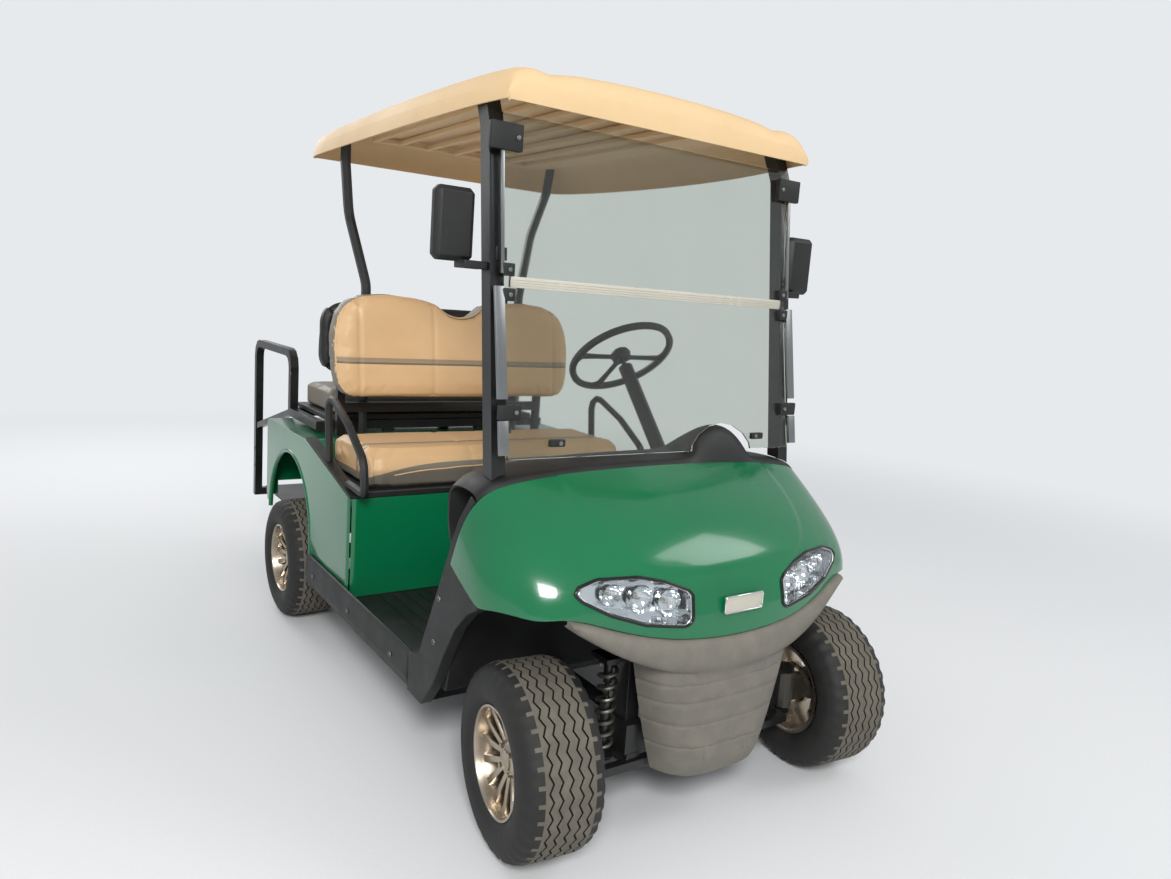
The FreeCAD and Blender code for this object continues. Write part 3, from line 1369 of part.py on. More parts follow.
def make_steering():
    """Column, and the wheel that turns on its top."""
    length = 723
    column = drum(24, length, centre + axis * 40, axis)
    column = column.cut(dash.Shape.translated(V(0, 0.5, 0)))
    column = max(column.Solids, key=lambda solid: solid.Volume)
    shaft = Part.makeCylinder(8, 60, centre - axis * 8, axis)
    feature_of("steering_column", fused([column, shaft]))
    radius = float(dim.steering_wheel_radius)
    section = [(second, radius + first) for first, second in round_section(dim.steering_rim_radius, 5)]
    rim = turned(section, 24, centre, axis * -1)
    hub = drum(34, 26, centre + axis * 8, axis * -1)
    bore = Part.makeCylinder(8 + float(dim.running_gap), 24, centre + axis * 12, axis * -1)
    shapes = [rim, hub]
    spoke_length = float(dim.steering_wheel_radius)
    across = V(1, 0, 0)
    down = axis.cross(across).normalize()
    if down.z > 0:
        down = down * -1
    for direction in (across, across * -1, down):
        start = centre + direction * 20
        shapes.append(drum(9, spoke_length - 20, start, direction, 6))
    wheel = fused(shapes).cut(bore)
    feature_of("steering_wheel", wheel)


doc.recompute()
make_steering()


def make_pedals():
    """Accelerator and brake pads on arms from the toe board."""
    toe_board = floor_pan.Shape.translated(V(0, 0.3, 0))
    shapes = []
    for x in (dim.driver_x - 60, dim.driver_x + 70):
        shapes.append(box((x - 34, toe_head + 110, floor_top + 96), (x + 34, toe_head + 122, floor_top + 176)))
        arm = box((x - 8, toe_head + 12, floor_top + 130), (x + 8, toe_head + 112, floor_top + 146))
        arm = arm.cut(toe_board)
        shapes.append(max(arm.Solids, key=lambda solid: solid.CenterOfMass.y))
    return feature_of("pedals", Part.makeCompound(
        [shapes[0].fuse(shapes[1]), shapes[2].fuse(shapes[3])]))


make_pedals()

# Tail lights: oval lamps on the rear wall
lamp = drum(34, 12, V(504, float(body_rear) + 0.3, float(deck_high) - 70), V(0, 1, 0), 16)
feature_of("tail_lights", both_sides(lamp))

# Checks and files
doc.recompute()
broken = [item.Label for item in doc.Objects if set(item.State) & {"Invalid", "Error"}]
for part in parts:
    if part.Shape.isNull() or not part.Shape.isValid():
        broken.append(part.Label)
if broken:
    raise RuntimeError(f"not built: {broken}")
os.makedirs("parts", exist_ok=True)
for part in parts:
    part.Shape.exportStep(f"parts/{part.Label}.step")
print(len(parts), "parts written")
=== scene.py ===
"""Looks of the golf cart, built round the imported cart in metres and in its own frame."""
import json
import logging
import math
from dataclasses import dataclass
from enum import Enum

import bmesh
import bpy
from mathutils import Matrix, Vector

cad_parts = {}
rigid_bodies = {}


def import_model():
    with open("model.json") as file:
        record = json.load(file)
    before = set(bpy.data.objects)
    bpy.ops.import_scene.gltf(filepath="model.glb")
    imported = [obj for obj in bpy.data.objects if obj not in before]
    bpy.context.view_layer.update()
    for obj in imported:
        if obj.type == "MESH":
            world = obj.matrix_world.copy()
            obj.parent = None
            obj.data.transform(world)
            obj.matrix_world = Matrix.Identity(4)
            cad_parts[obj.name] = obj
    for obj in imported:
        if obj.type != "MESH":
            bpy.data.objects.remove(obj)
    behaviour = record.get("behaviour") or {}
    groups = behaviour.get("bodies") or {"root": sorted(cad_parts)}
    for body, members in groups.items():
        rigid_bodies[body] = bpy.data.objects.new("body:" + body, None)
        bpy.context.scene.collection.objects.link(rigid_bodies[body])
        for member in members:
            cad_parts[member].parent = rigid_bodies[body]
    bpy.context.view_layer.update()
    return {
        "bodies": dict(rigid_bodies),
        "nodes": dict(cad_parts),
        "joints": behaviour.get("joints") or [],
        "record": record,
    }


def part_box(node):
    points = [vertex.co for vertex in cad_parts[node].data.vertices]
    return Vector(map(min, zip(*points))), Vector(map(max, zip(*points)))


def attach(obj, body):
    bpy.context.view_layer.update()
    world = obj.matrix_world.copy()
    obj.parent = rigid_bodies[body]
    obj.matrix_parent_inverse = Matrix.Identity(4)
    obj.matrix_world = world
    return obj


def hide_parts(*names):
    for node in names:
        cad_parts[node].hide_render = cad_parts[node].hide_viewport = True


LOG = logging.getLogger("cart")
MM = 0.001
FRONT_AXLE = -1.147663
REAR_AXLE = 0.536337
STEER_REST = math.radians(6.4)
SIDES = ((-1, "right"), (1, "left"))
# vertices nearer than this belong to one seam
SEAM_REACH = 2e-5
# edges sharper than this stay sharp in the shading
SHARP_ANGLE = math.radians(38)
# edges sharper than this get a bevel
BEVEL_ANGLE = math.radians(32)
# edges flatter than this are dissolved, since their faces lie in one plane
FLAT_ANGLE = math.radians(2)
# edges sharper than this, in radians, are the rim of a drum
RIM_ANGLE = 0.9
CREASE_WEIGHT = 0.9
# one period of the wave texture at a scale of 1
WAVE_PERIOD = 6.2832


class Edge(Enum):
    """How a carried-over form is finished."""

    CRISP = "crisp"
    SOFT = "soft"


def linear(code: str) -> tuple[float, float, float, float]:
    """Turns an sRGB hex colour to linear light.

    Args:
        code: The colour as #rrggbb.

    Returns:
        Linear red, green, blue and an alpha of 1.
    """
    parts = [int(code[place:place + 2], 16) / 255 for place in (1, 3, 5)]
    lin = [part / 12.92 if part <= 0.04045 else ((part + 0.055) / 1.055) ** 2.4 for part in parts]
    return lin[0], lin[1], lin[2], 1.0


def add_node(tree: bpy.types.NodeTree, kind: str, inputs: dict | None = None,
             **settings) -> bpy.types.Node:
    """Adds a shader node with its settings, values and links.

    Args:
        tree: The material's node tree.
        kind: The node's type name.
        inputs: Socket name or number to a value or to another node's output.
        **settings: Properties of the node.

    Returns:
        The new node.
    """
    node = tree.nodes.new(kind)
    for key, value in settings.items():
        setattr(node, key, value)
    for key, value in (inputs or {}).items():
        if isinstance(value, bpy.types.NodeSocket):
            tree.links.new(value, node.inputs[key])
        else:
            node.inputs[key].default_value = value
    return node


def empty_tree(owner: bpy.types.ID) -> bpy.types.NodeTree:
    """Switches a material or a world to nodes and clears them."""
    owner.use_nodes = True
    owner.node_tree.nodes.clear()
    return owner.node_tree


def calc(tree: bpy.types.NodeTree, operation: str, *values) -> bpy.types.NodeSocket:
    """Adds a sum to a node tree.

    Args:
        tree: The node tree.
        operation: The maths node's operation.
        *values: Numbers or other nodes' outputs.

    Returns:
        The output with the result.
    """
    return add_node(tree, "ShaderNodeMath", dict(enumerate(values)), operation=operation).outputs[0]


@dataclass(frozen=True)
class Finish:
    """A surface with a fine grain and cloudy variation.

    Attributes:
        name: What the real material is and how it was made.
        slot: The record's material slot that it stands for. Not used.
        colour: Main colour.
        cloud: Colour of the large soft patches.
        roughness: Middle roughness.
        spread: How far the roughness varies.
        metallic: 0 or 1.
        coat: Strength of the clear coat.
        ior: Index of refraction.
        grain_mm: Size of the fine pattern.
        bump_mm: Height of the fine pattern.
        cloud_mm: Size of the soft patches.
        cloud_share: Most that a patch shows.
        stretch: Scale of the patches along X, Y and Z.
    """

    name: str
    slot: str
    colour: str
    cloud: str
    roughness: float = 0.5
    spread: float = 0.08
    metallic: float = 0.0
    coat: float = 0.0
    ior: float = 1.5
    grain_mm: float = 1.5
    bump_mm: float = 0.1
    cloud_mm: float = 140.0
    cloud_share: float = 0.4
    stretch: tuple[float, float, float] = (1.0, 1.0, 1.0)

    def tint(self, tree: bpy.types.NodeTree, place: bpy.types.NodeSocket,
             colour: bpy.types.NodeSocket) -> bpy.types.NodeSocket:
        """Adds this finish's own pattern to the colour; a plain finish has none."""
        return colour

    def relief(self, tree: bpy.types.NodeTree, place: bpy.types.NodeSocket) -> bpy.types.NodeSocket:
        """Height of the fine grain.

        Args:
            tree: The material's node tree.
            place: Object coordinates in metres.

        Returns:
            A height from 0 to 1.
        """
        grain = add_node(tree, "ShaderNodeTexNoise",
                         {"Vector": place, "Scale": 1000 / self.grain_mm, "Detail": 3.0,
                          "Roughness": 0.55})
        return grain.outputs["Fac"]

    def build(self) -> bpy.types.Material:
        """Makes the node-based material.

        Returns:
            The material, named for the finish.
        """
        material = bpy.data.materials.new(self.name)
        tree = empty_tree(material)
        place = add_node(tree, "ShaderNodeTexCoord").outputs["Object"]
        wide = add_node(tree, "ShaderNodeMapping", {"Vector": place, "Scale": self.stretch})
        clouds = add_node(tree, "ShaderNodeTexNoise",
                          {"Vector": wide.outputs["Vector"], "Scale": 1000 / self.cloud_mm,
                           "Detail": 5.0, "Roughness": 0.6})
        share = add_node(tree, "ShaderNodeMapRange",
                         {"Value": clouds.outputs["Fac"], "From Min": 0.42, "From Max": 0.72,
                          "To Min": 0.0, "To Max": self.cloud_share})
        mixed = self.mix(tree, share.outputs["Result"], self.colour, self.cloud)
        colour = self.tint(tree, place, mixed)
        rough = add_node(tree, "ShaderNodeMapRange",
                         {"Value": clouds.outputs["Fac"], "From Min": 0.3, "From Max": 0.7,
                          "To Min": max(self.roughness - self.spread, 0.02),
                          "To Max": min(self.roughness + self.spread, 1.0)})
        bump = add_node(tree, "ShaderNodeBump",
                        {"Height": self.relief(tree, place), "Strength": 1.0,
                         "Distance": self.bump_mm * MM})
        shader = add_node(tree, "ShaderNodeBsdfPrincipled",
                          {"Base Color": colour, "Roughness": rough.outputs["Result"],
                           "Metallic": self.metallic, "IOR": self.ior, "Coat Weight": self.coat,
                           "Coat Roughness": 0.06, "Normal": bump.outputs["Normal"]})
        self.finish_shader(shader)
        add_node(tree, "ShaderNodeOutputMaterial", {"Surface": shader.outputs["BSDF"]})
        return material

    def finish_shader(self, shader: bpy.types.Node) -> None:
        """Sets what only some finishes have, such as transmission."""

    @staticmethod
    def mix(tree: bpy.types.NodeTree, factor: bpy.types.NodeSocket, first, second) \
            -> bpy.types.NodeSocket:
        """Mixes two colours.

        Args:
            tree: The material's node tree.
            factor: Share of the second colour.
            first: A hex colour or a colour output.
            second: A hex colour or a colour output.

        Returns:
            The mixed colour's output.
        """
        node = add_node(tree, "ShaderNodeMix", data_type="RGBA")
        tree.links.new(factor, node.inputs["Factor"])
        colours = [socket for socket in node.inputs if socket.type == "RGBA"]
        for socket, value in zip(colours, (first, second)):
            if isinstance(value, str):
                socket.default_value = linear(value)
            else:
                tree.links.new(value, socket)
        return [socket for socket in node.outputs if socket.type == "RGBA"][0]


@dataclass(frozen=True)
class ClearSheet(Finish):
    """Clear or tinted plastic that lets the light through.

    Attributes:
        transmission: Share of the light that passes.
    """

    transmission: float = 1.0

    def finish_shader(self, shader: bpy.types.Node) -> None:
        """Lets the light through."""
        shader.inputs["Transmission Weight"].default_value = self.transmission


@dataclass(frozen=True)
class FlutedLens(ClearSheet):
    """Lamp lens with upright flutes moulded in its back.

    Attributes:
        flute_mm: Width of a flute.
    """

    flute_mm: float = 7.0

    def relief(self, tree: bpy.types.NodeTree, place: bpy.types.NodeSocket) -> bpy.types.NodeSocket:
        """Upright flutes."""
        wave = add_node(tree, "ShaderNodeTexWave",
                        {"Vector": place, "Scale": 1000 / self.flute_mm / WAVE_PERIOD,
                         "Distortion": 0.0}, wave_type="BANDS", bands_direction="X")
        return wave.outputs["Fac"]


@dataclass(frozen=True)
class StripedVinyl(Finish):
    """Pebbled marine vinyl with sewn stripes across the pad.

    Attributes:
        axis: Which object axis the stripes are counted along, 0 to 2.
        bands: Middle, half width and colour of each stripe, in mm.
        skirt: Colour of the lower cloth, or nothing.
        skirt_mm: Height of the seam above it; the seam drops at the pad's ends.
    """

    ior: float = 1.45
    grain_mm: float = 3.0
    bump_mm: float = 0.12
    cloud_mm: float = 180.0
    cloud_share: float = 0.5
    axis: int = 2
    bands: tuple[tuple[float, float, str], ...] = ()
    skirt: str = ""
    skirt_mm: float = 712.0

    def relief(self, tree: bpy.types.NodeTree, place: bpy.types.NodeSocket) -> bpy.types.NodeSocket:
        """Pebbles of the vinyl's embossing, drawn at 3 mm so that they show."""
        cells = add_node(tree, "ShaderNodeTexVoronoi",
                         {"Vector": place, "Scale": 1000 / self.grain_mm, "Smoothness": 0.6},
                         feature="SMOOTH_F1")
        return cells.outputs["Distance"]

    def tint(self, tree: bpy.types.NodeTree, place: bpy.types.NodeSocket,
             colour: bpy.types.NodeSocket) -> bpy.types.NodeSocket:
        """Lays the stripes over the colour."""
        split = add_node(tree, "ShaderNodeSeparateXYZ", {"Vector": place})
        for middle, half, code in self.bands:
            away = calc(tree, "SUBTRACT", split.outputs[self.axis], middle * MM)
            inside = calc(tree, "LESS_THAN", calc(tree, "ABSOLUTE", away), half * MM)
            colour = self.mix(tree, inside, colour, code)
        if self.skirt:
            bow = calc(tree, "POWER", calc(tree, "ABSOLUTE", split.outputs[0]), 4.0)
            height = calc(tree, "MULTIPLY_ADD", bow, 0.8, split.outputs[2])
            below = calc(tree, "LESS_THAN", height, self.skirt_mm * MM)
            colour = self.mix(tree, below, colour, self.skirt)
        return colour


class Finishes:
    """Every material of the cart, made once."""

    def __init__(self) -> None:
        """Builds them from their dataclasses."""
        self.rows: dict[str, Finish] = {}
        self.made: dict[str, bpy.types.Material] = {}
        for finish in self.list():
            self.rows[finish.name] = finish
            self.made[finish.name] = finish.build()

    @staticmethod
    def list() -> list[Finish]:
        """The finishes."""
        return [
            # glossy moulded-in colour under a clear coat: deep green with a slight orange peel
            Finish("painted_abs_green", "green_panel", "#05683f", "#045534", 0.2, 0.05,
                   coat=0.45, ior=1.45, grain_mm=4.0, bump_mm=0.015, cloud_mm=300.0,
                   cloud_share=0.35),
            # textured olefin: near black, a fine pebble that scatters the light
            Finish("grained_olefin_black", "black_plastic", "#141515", "#211f1d", 0.55, 0.08,
                   grain_mm=1.6, bump_mm=0.16, cloud_mm=90.0, cloud_share=0.5),
            # the same olefin after years in the sun: chalky warm grey
            Finish("weathered_olefin_grey", "black_plastic", "#6a665e", "#7f7a6e", 0.66, 0.08,
                   grain_mm=1.8, bump_mm=0.2, cloud_mm=45.0, cloud_share=0.55),
            # powder coat: even satin black with a light orange peel
            Finish("powder_coated_steel", "black_steel", "#0f1011", "#1b1a18", 0.38, 0.07,
                   coat=0.2, grain_mm=2.4, bump_mm=0.05),
            # extruded aluminium strip, satin
            Finish("satin_aluminium", "strut_steel", "#8f9192", "#a5a6a5", 0.36, 0.06, metallic=1.0,
                   grain_mm=0.9, bump_mm=0.02, stretch=(1.0, 1.0, 0.1)),
            # zinc-plated steel, dull with road film
            Finish("zinc_plated_steel", "bare_steel", "#77746d", "#57534b", 0.48, 0.1, metallic=1.0,
                   grain_mm=1.4, bump_mm=0.05),
            # marine vinyl: warm tan, pebbled, softly shiny
            StripedVinyl("sewn_vinyl_tan_back", "tan_vinyl", "#d9b487", "#cda678", 0.46, 0.06,
                         axis=2, bands=((1012.0, 8.0, "#a08d74"), (1001.0, 3.5, "#6f6252"))),
            StripedVinyl("sewn_vinyl_tan_seat", "tan_vinyl", "#d9b487", "#cda678", 0.46, 0.06,
                         axis=1, bands=((-4.0, 7.0, "#93816a"), (-32.0, 6.0, "#93816a")),
                         skirt="#7c7569"),
            StripedVinyl("sewn_vinyl_taupe", "tan_vinyl", "#7c7569", "#8a8374", 0.5, 0.06,
                         cloud_mm=160.0),
            # rotomoulded roof: cream-tan polyethylene with a soft sheen
            Finish("rotomoulded_polyethylene", "roof_plastic", "#d8b98d", "#cbac80", 0.6, 0.06,
                   grain_mm=2.2, bump_mm=0.06, cloud_mm=260.0, cloud_share=0.5),
            ClearSheet("clear_polycarbonate", "clear_sheet", "#cdd3cc", "#c6ccc5", 0.03, 0.01,
                       grain_mm=60.0, bump_mm=0.01, cloud_share=0.3),
            # tyre rubber: charcoal with a dusty bloom
            Finish("road_rubber", "tyre", "#171717", "#27251f", 0.7, 0.08, grain_mm=1.2,
                   bump_mm=0.15, cloud_mm=60.0, cloud_share=0.7),
            # tread blocks with dry road dust on their faces
            Finish("dusty_tread_rubber", "tyre", "#5a554b", "#6d675b", 0.85, 0.06, grain_mm=1.6,
                   bump_mm=0.3, cloud_mm=40.0, cloud_share=0.8),
            # vinyl H-profile that joins both sheets
            Finish("seam_profile_vinyl", "clear_sheet", "#bdb9ac", "#aaa698", 0.3, 0.05,
                   grain_mm=2.0, bump_mm=0.05),
            # cast alloy: machined face under a bronze-grey lacquer
            Finish("cast_alloy", "alloy", "#b3a796", "#958a7b", 0.3, 0.06, metallic=1.0, coat=0.3,
                   grain_mm=1.2, bump_mm=0.02, cloud_mm=50.0),
            Finish("metallised_bowl", "lamp_bowl", "#dfe2e4", "#c9cdd0", 0.1, 0.04, metallic=1.0,
                   grain_mm=6.0, bump_mm=0.05),
            Finish("lamp_rim_black", "black_plastic", "#101112", "#1a1a1a", 0.2, 0.04, grain_mm=3.0,
                   bump_mm=0.02),
            FlutedLens("fluted_polycarbonate", "lamp_lens", "#f4f7f8", "#eef2f3", 0.03, 0.01,
                       grain_mm=8.0, bump_mm=0.25, cloud_share=0.2),
            ClearSheet("red_acrylic", "red_lens", "#a01418", "#8c1014", 0.12, 0.03, grain_mm=5.0,
                       bump_mm=0.2, transmission=0.45),
            Finish("battery_polypropylene", "battery_case", "#2b2c2d", "#3a3a38", 0.5, 0.06,
                   grain_mm=1.6, bump_mm=0.08),
            # chequer plate of the rear deck and foot plate
            Finish("deck_plate", "deck_plate", "#2a2b2b", "#3c3a36", 0.5, 0.08, grain_mm=12.0,
                   bump_mm=0.5),
            Finish("blank_plate_satin", "strut_steel", "#cfcabc", "#bdb8ab", 0.34, 0.05,
                   metallic=0.6, grain_mm=2.0, bump_mm=0.03),
        ]

    def assign(self, piece: bpy.types.Object, name: str, body: str = "chassis") -> bpy.types.Object:
        """Gives a piece one material and puts it on its body.

        Args:
            piece: The object.
            name: A finish's name.
            body: The body that it rides.

        Returns:
            The same object.
        """
        piece.data.materials.append(self.made[name])
        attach(piece, body)
        return piece


def linked(name: str, data: bpy.types.ID) -> bpy.types.Object:
    """Makes an object of its data and links it to the scene."""
    item = bpy.data.objects.new(name, data)
    bpy.context.scene.collection.objects.link(item)
    return item


def node_shape(frame: dict, node: str) -> bmesh.types.BMesh:
    """Mesh of a CAD node with its faces joined along their seams."""
    shape = bmesh.new()
    shape.from_mesh(frame["nodes"][node].data)
    bmesh.ops.remove_doubles(shape, verts=shape.verts, dist=SEAM_REACH)
    return shape


def new_piece(name: str, shape: bmesh.types.BMesh) -> bpy.types.Object:
    """Turns a bmesh into an object at the origin, normals outwards, shaded by angle.

    Args:
        name: The object's name.
        shape: The mesh, freed here.

    Returns:
        The linked object.
    """
    mesh = bpy.data.meshes.new(name)
    bmesh.ops.recalc_face_normals(shape, faces=shape.faces)
    shape.to_mesh(mesh)
    shape.free()
    mesh.polygons.foreach_set("use_smooth", [True] * len(mesh.polygons))
    mesh.set_sharp_from_angle(angle=SHARP_ANGLE)
    return linked(name, mesh)


def soften(shape: bmesh.types.BMesh, edges: list, width: float) -> dict:
    """Bevels edges in two rounded steps.

    Args:
        shape: The mesh that they belong to.
        edges: The edges.
        width: Width of the bevel.

    Returns:
        What the bevel made: its verts, edges and faces.
    """
    return bmesh.ops.bevel(shape, geom=edges, offset=width, segments=2, affect="EDGES",
                           profile=0.5, material=-1, clamp_overlap=True)


def edges_of(verts: list) -> list:
    """Every edge that ends at one of the vertices, once."""
    return list({edge for vert in verts for edge in vert.link_edges})


def add_bar(shape: bmesh.types.BMesh, low: tuple, high: tuple, bevel: float) -> None:
    """Adds a bevelled block between two corners.

    Args:
        shape: The mesh that it joins.
        low: Lowest corner in metres.
        high: Highest corner in metres.
        bevel: Width of the bevel.
    """
    size = [top - bottom for bottom, top in zip(low, high)]
    middle = [(top + bottom) / 2 for bottom, top in zip(low, high)]
    place = Matrix.Translation(middle) @ Matrix.Diagonal((*size, 1.0))
    made = bmesh.ops.create_cube(shape, size=1.0, matrix=place)["verts"]
    soften(shape, edges_of(made), bevel)


def add_drum(shape: bmesh.types.BMesh, centre: Vector, along: Vector, radius: float, length: float,
             segments: int, top: float | None = None, bevel: float = 0.0) -> None:
    """Adds a round bar that starts at a point.

    Args:
        shape: The mesh that it joins.
        centre: Middle of its first end.
        along: Its direction.
        radius: Radius of the first end.
        length: Its length.
        segments: Sides.
        top: Radius of the far end, if it differs.
        bevel: Width of the bevel on its rims.
    """
    turn = along.normalized().to_track_quat("Z", "Y").to_matrix().to_4x4()
    place = Matrix.Translation(centre) @ turn @ Matrix.Translation((0, 0, length / 2))
    made = bmesh.ops.create_cone(shape, cap_ends=True, segments=segments, radius1=radius,
                                 radius2=radius if top is None else top, depth=length,
                                 matrix=place)["verts"]
    if bevel:
        rims = [edge for vert in made for edge in vert.link_edges
                if len(edge.link_faces) == 2 and edge.calc_face_angle(0.0) > RIM_ANGLE]
        soften(shape, list(set(rims)), bevel)


def add_beam(shape: bmesh.types.BMesh, start: Vector, end: Vector, width: float, depth: float,
             bevel: float = 0.001) -> None:
    """Adds a bar between two points, its width along X.

    Args:
        shape: The mesh that it joins.
        start: Middle of one end.
        end: Middle of the other end.
        width: Size along X.
        depth: Size across.
        bevel: Width of the bevel.
    """
    along = (end - start).normalized()
    side = Vector((1, 0, 0))
    basis = Matrix((side, along.cross(side), along)).transposed().to_4x4()
    size = Matrix.Diagonal((width, depth, (end - start).length, 1.0))
    made = bmesh.ops.create_cube(shape, size=1.0,
                                 matrix=Matrix.Translation((start + end) / 2) @ basis @ size)["verts"]
    soften(shape, edges_of(made), bevel)


def spun(shape: bmesh.types.BMesh, profile: list[tuple[float, float]], steps: int) -> list:
    """Spins a closed profile of (along X, radius) corners a full turn about X.

    Args:
        shape: The mesh that it joins.
        profile: The corners in metres.
        steps: Steps of the turn.

    Returns:
        The vertices of the ring.
    """
    before = set(shape.verts)
    line = [shape.verts.new((along, 0.0, radius)) for along, radius in profile]
    edges = [shape.edges.new(pair) for pair in zip(line, line[1:] + line[:1])]
    bmesh.ops.spin(shape, geom=line + edges, cent=(0, 0, 0), axis=(1, 0, 0), dvec=(0, 0, 0),
                   angle=2 * math.pi, steps=steps, use_merge=True, use_duplicate=False)
    made = [vert for vert in shape.verts if vert not in before]
    bmesh.ops.remove_doubles(shape, verts=made, dist=1e-6)
    return [vert for vert in shape.verts if vert not in before]


def bake(piece: bpy.types.Object) -> bpy.types.Object:
    """Turns the modifiers' result into the piece's own mesh.

    Args:
        piece: The object.

    Returns:
        The same object.
    """
    graph = bpy.context.evaluated_depsgraph_get()
    mesh = bpy.data.meshes.new_from_object(piece.evaluated_get(graph))
    piece.modifiers.clear()
    piece.data = mesh
    return piece


def tube(name: str, points: list, radius: float, closed: bool = False, soft: bool = True,
         rounds: int = 3) -> bpy.types.Object:
    """Round bar through points.

    Args:
        name: The object's name.
        points: Places in metres.
        radius: Radius of the bar.
        closed: Whether its ends meet.
        soft: Whether it is smoothed through the points.
        rounds: Fineness of its section.

    Returns:
        The bar as a mesh object.
    """
    data = bpy.data.curves.new(name, "CURVE")
    data.dimensions = "3D"
    data.bevel_depth = radius
    data.bevel_resolution = rounds
    data.use_fill_caps = True
    line = data.splines.new("NURBS" if soft else "POLY")
    line.points.add(len(points) - 1)
    for spot, point in zip(line.points, points):
        spot.co = (*point, 1.0)
    line.use_cyclic_u = closed
    line.use_endpoint_u = not closed
    line.order_u = 3
    line.resolution_u = 5
    holder = linked(name, data)
    mesh = bpy.data.meshes.new_from_object(holder)
    bpy.data.objects.remove(holder)
    shape = bmesh.new()
    shape.from_mesh(mesh)
    return new_piece(name, shape)


def smooth_rise(value: float) -> float:
    """Soft step from 0 to 1."""
    value = min(max(value, 0.0), 1.0)
    return value * value * (3 - 2 * value)


@dataclass
class CarriedForm:
    """A CAD node carried over with rounded edges or a smooth skin.

    Attributes:
        node: The CAD node.
        body: The body that it rides.
        finish: Its material.
        edge: How its edges are finished.
        width: Bevel width for crisp forms, in metres.
        levels: Subdivision for soft forms.
        crease: Angle in degrees above which a soft form keeps an edge.
    """

    node: str
    body: str
    finish: str
    edge: Edge = Edge.CRISP
    width: float = 0.002
    levels: int = 2
    crease: float = 50.0

    def build(self, frame: dict, finishes: Finishes) -> None:
        """Copies the node's mesh, closes its seams and finishes its edges.

        Args:
            finishes: The materials.
        """
        shape = node_shape(frame, self.node)
        if self.edge is Edge.SOFT:
            bmesh.ops.join_triangles(shape, faces=shape.faces, angle_face_threshold=0.6,
                                     angle_shape_threshold=1.0)
            layer = shape.edges.layers.float.new("crease_edge")
            for edge in shape.edges:
                if edge.calc_face_angle(0.0) > math.radians(self.crease):
                    edge[layer] = CREASE_WEIGHT
        else:
            bmesh.ops.dissolve_limit(shape, angle_limit=FLAT_ANGLE, verts=shape.verts,
                                     edges=shape.edges)
        piece = new_piece(f"{self.node}_dressed", shape)
        if self.edge is Edge.SOFT:
            smooth = piece.modifiers.new("skin", "SUBSURF")
            smooth.levels = self.levels
            smooth.render_levels = self.levels
        else:
            bevel = piece.modifiers.new("edges", "BEVEL")
            bevel.width = self.width
            bevel.segments = 2
            bevel.limit_method = "ANGLE"
            bevel.angle_limit = BEVEL_ANGLE
            bevel.harden_normals = False
        self.dress(piece)
        finishes.assign(piece, self.finish, self.body)
        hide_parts(self.node)
        LOG.info("%s carried over, %s", self.node, self.edge.value)

    def dress(self, piece: bpy.types.Object) -> None:
        """Adds what only some forms have."""


@dataclass
class Hood(CarriedForm):
    """Cowl whose middle panel stands slightly proud inside a curved crease.

    Attributes:
        half: Half width of the panel.
        top: Height from which the crease's depth is counted.
        depth: How far the crease reaches below that height.
        proud: How far the panel stands out.
    """

    half: float = 0.356
    top: float = 0.9
    depth: float = 0.24
    proud: float = 0.0028

    def dress(self, piece: bpy.types.Object) -> None:
        """Raises the panel."""
        mesh = bake(piece).data
        normals = [normal.vector.copy() for normal in mesh.vertex_normals]
        for vert, normal in zip(mesh.vertices, normals):
            x, z = abs(vert.co.x), self.top - vert.co.z
            if x > self.half or normal.y > 0.4 or normal.z < -0.5:
                continue
            inside = 1 - (x / self.half) ** 6 - (z / self.depth) ** 2
            slope = math.hypot(6 / self.half * (x / self.half) ** 5, 2 * z / self.depth ** 2)
            vert.co += normal * self.proud * smooth_rise(inside / slope / 0.012)


@dataclass
class GroovedBumper(CarriedForm):
    """Bumper whose box skirt carries level grooves.

    Attributes:
        grooves: Heights of the grooves.
        half: Half height of a groove.
        sunk: Its depth.
    """

    grooves: tuple[float, ...] = (0.235, 0.295, 0.355, 0.4)
    half: float = 0.0028
    sunk: float = 0.0022

    def dress(self, piece: bpy.types.Object) -> None:
        """Cuts the grooves into the outer face."""
        mesh = bake(piece).data
        shape = bmesh.new()
        shape.from_mesh(mesh)
        middle = Vector((0, FRONT_AXLE - 0.1, 0))
        for height in self.grooves:
            for level in (height - self.half, height, height + self.half):
                everything = shape.verts[:] + shape.edges[:] + shape.faces[:]
                bmesh.ops.bisect_plane(shape, geom=everything, plane_co=(0, 0, level),
                                       plane_no=(0, 0, 1), dist=1e-6)
            shape.normal_update()
            for vert in shape.verts:
                flat = Vector((vert.co.x, vert.co.y, 0)) - middle
                outer = vert.normal.dot(flat) > 0 and abs(vert.normal.z) < 0.6
                if abs(vert.co.z - height) < 1e-5 and outer:
                    vert.co -= vert.normal * self.sunk
        shape.to_mesh(mesh)
        shape.free()
        mesh.set_sharp_from_angle(angle=math.radians(30))


@dataclass
class PlainNode:
    """A CAD node whose own mesh stays, with a better material."""

    node: str
    finish: str

    def build(self, frame: dict, finishes: Finishes) -> None:
        """Dresses the node."""
        piece = frame["nodes"][self.node]
        piece.data.materials.clear()
        piece.data.materials.append(finishes.made[self.finish])
        LOG.info("%s dressed", self.node)


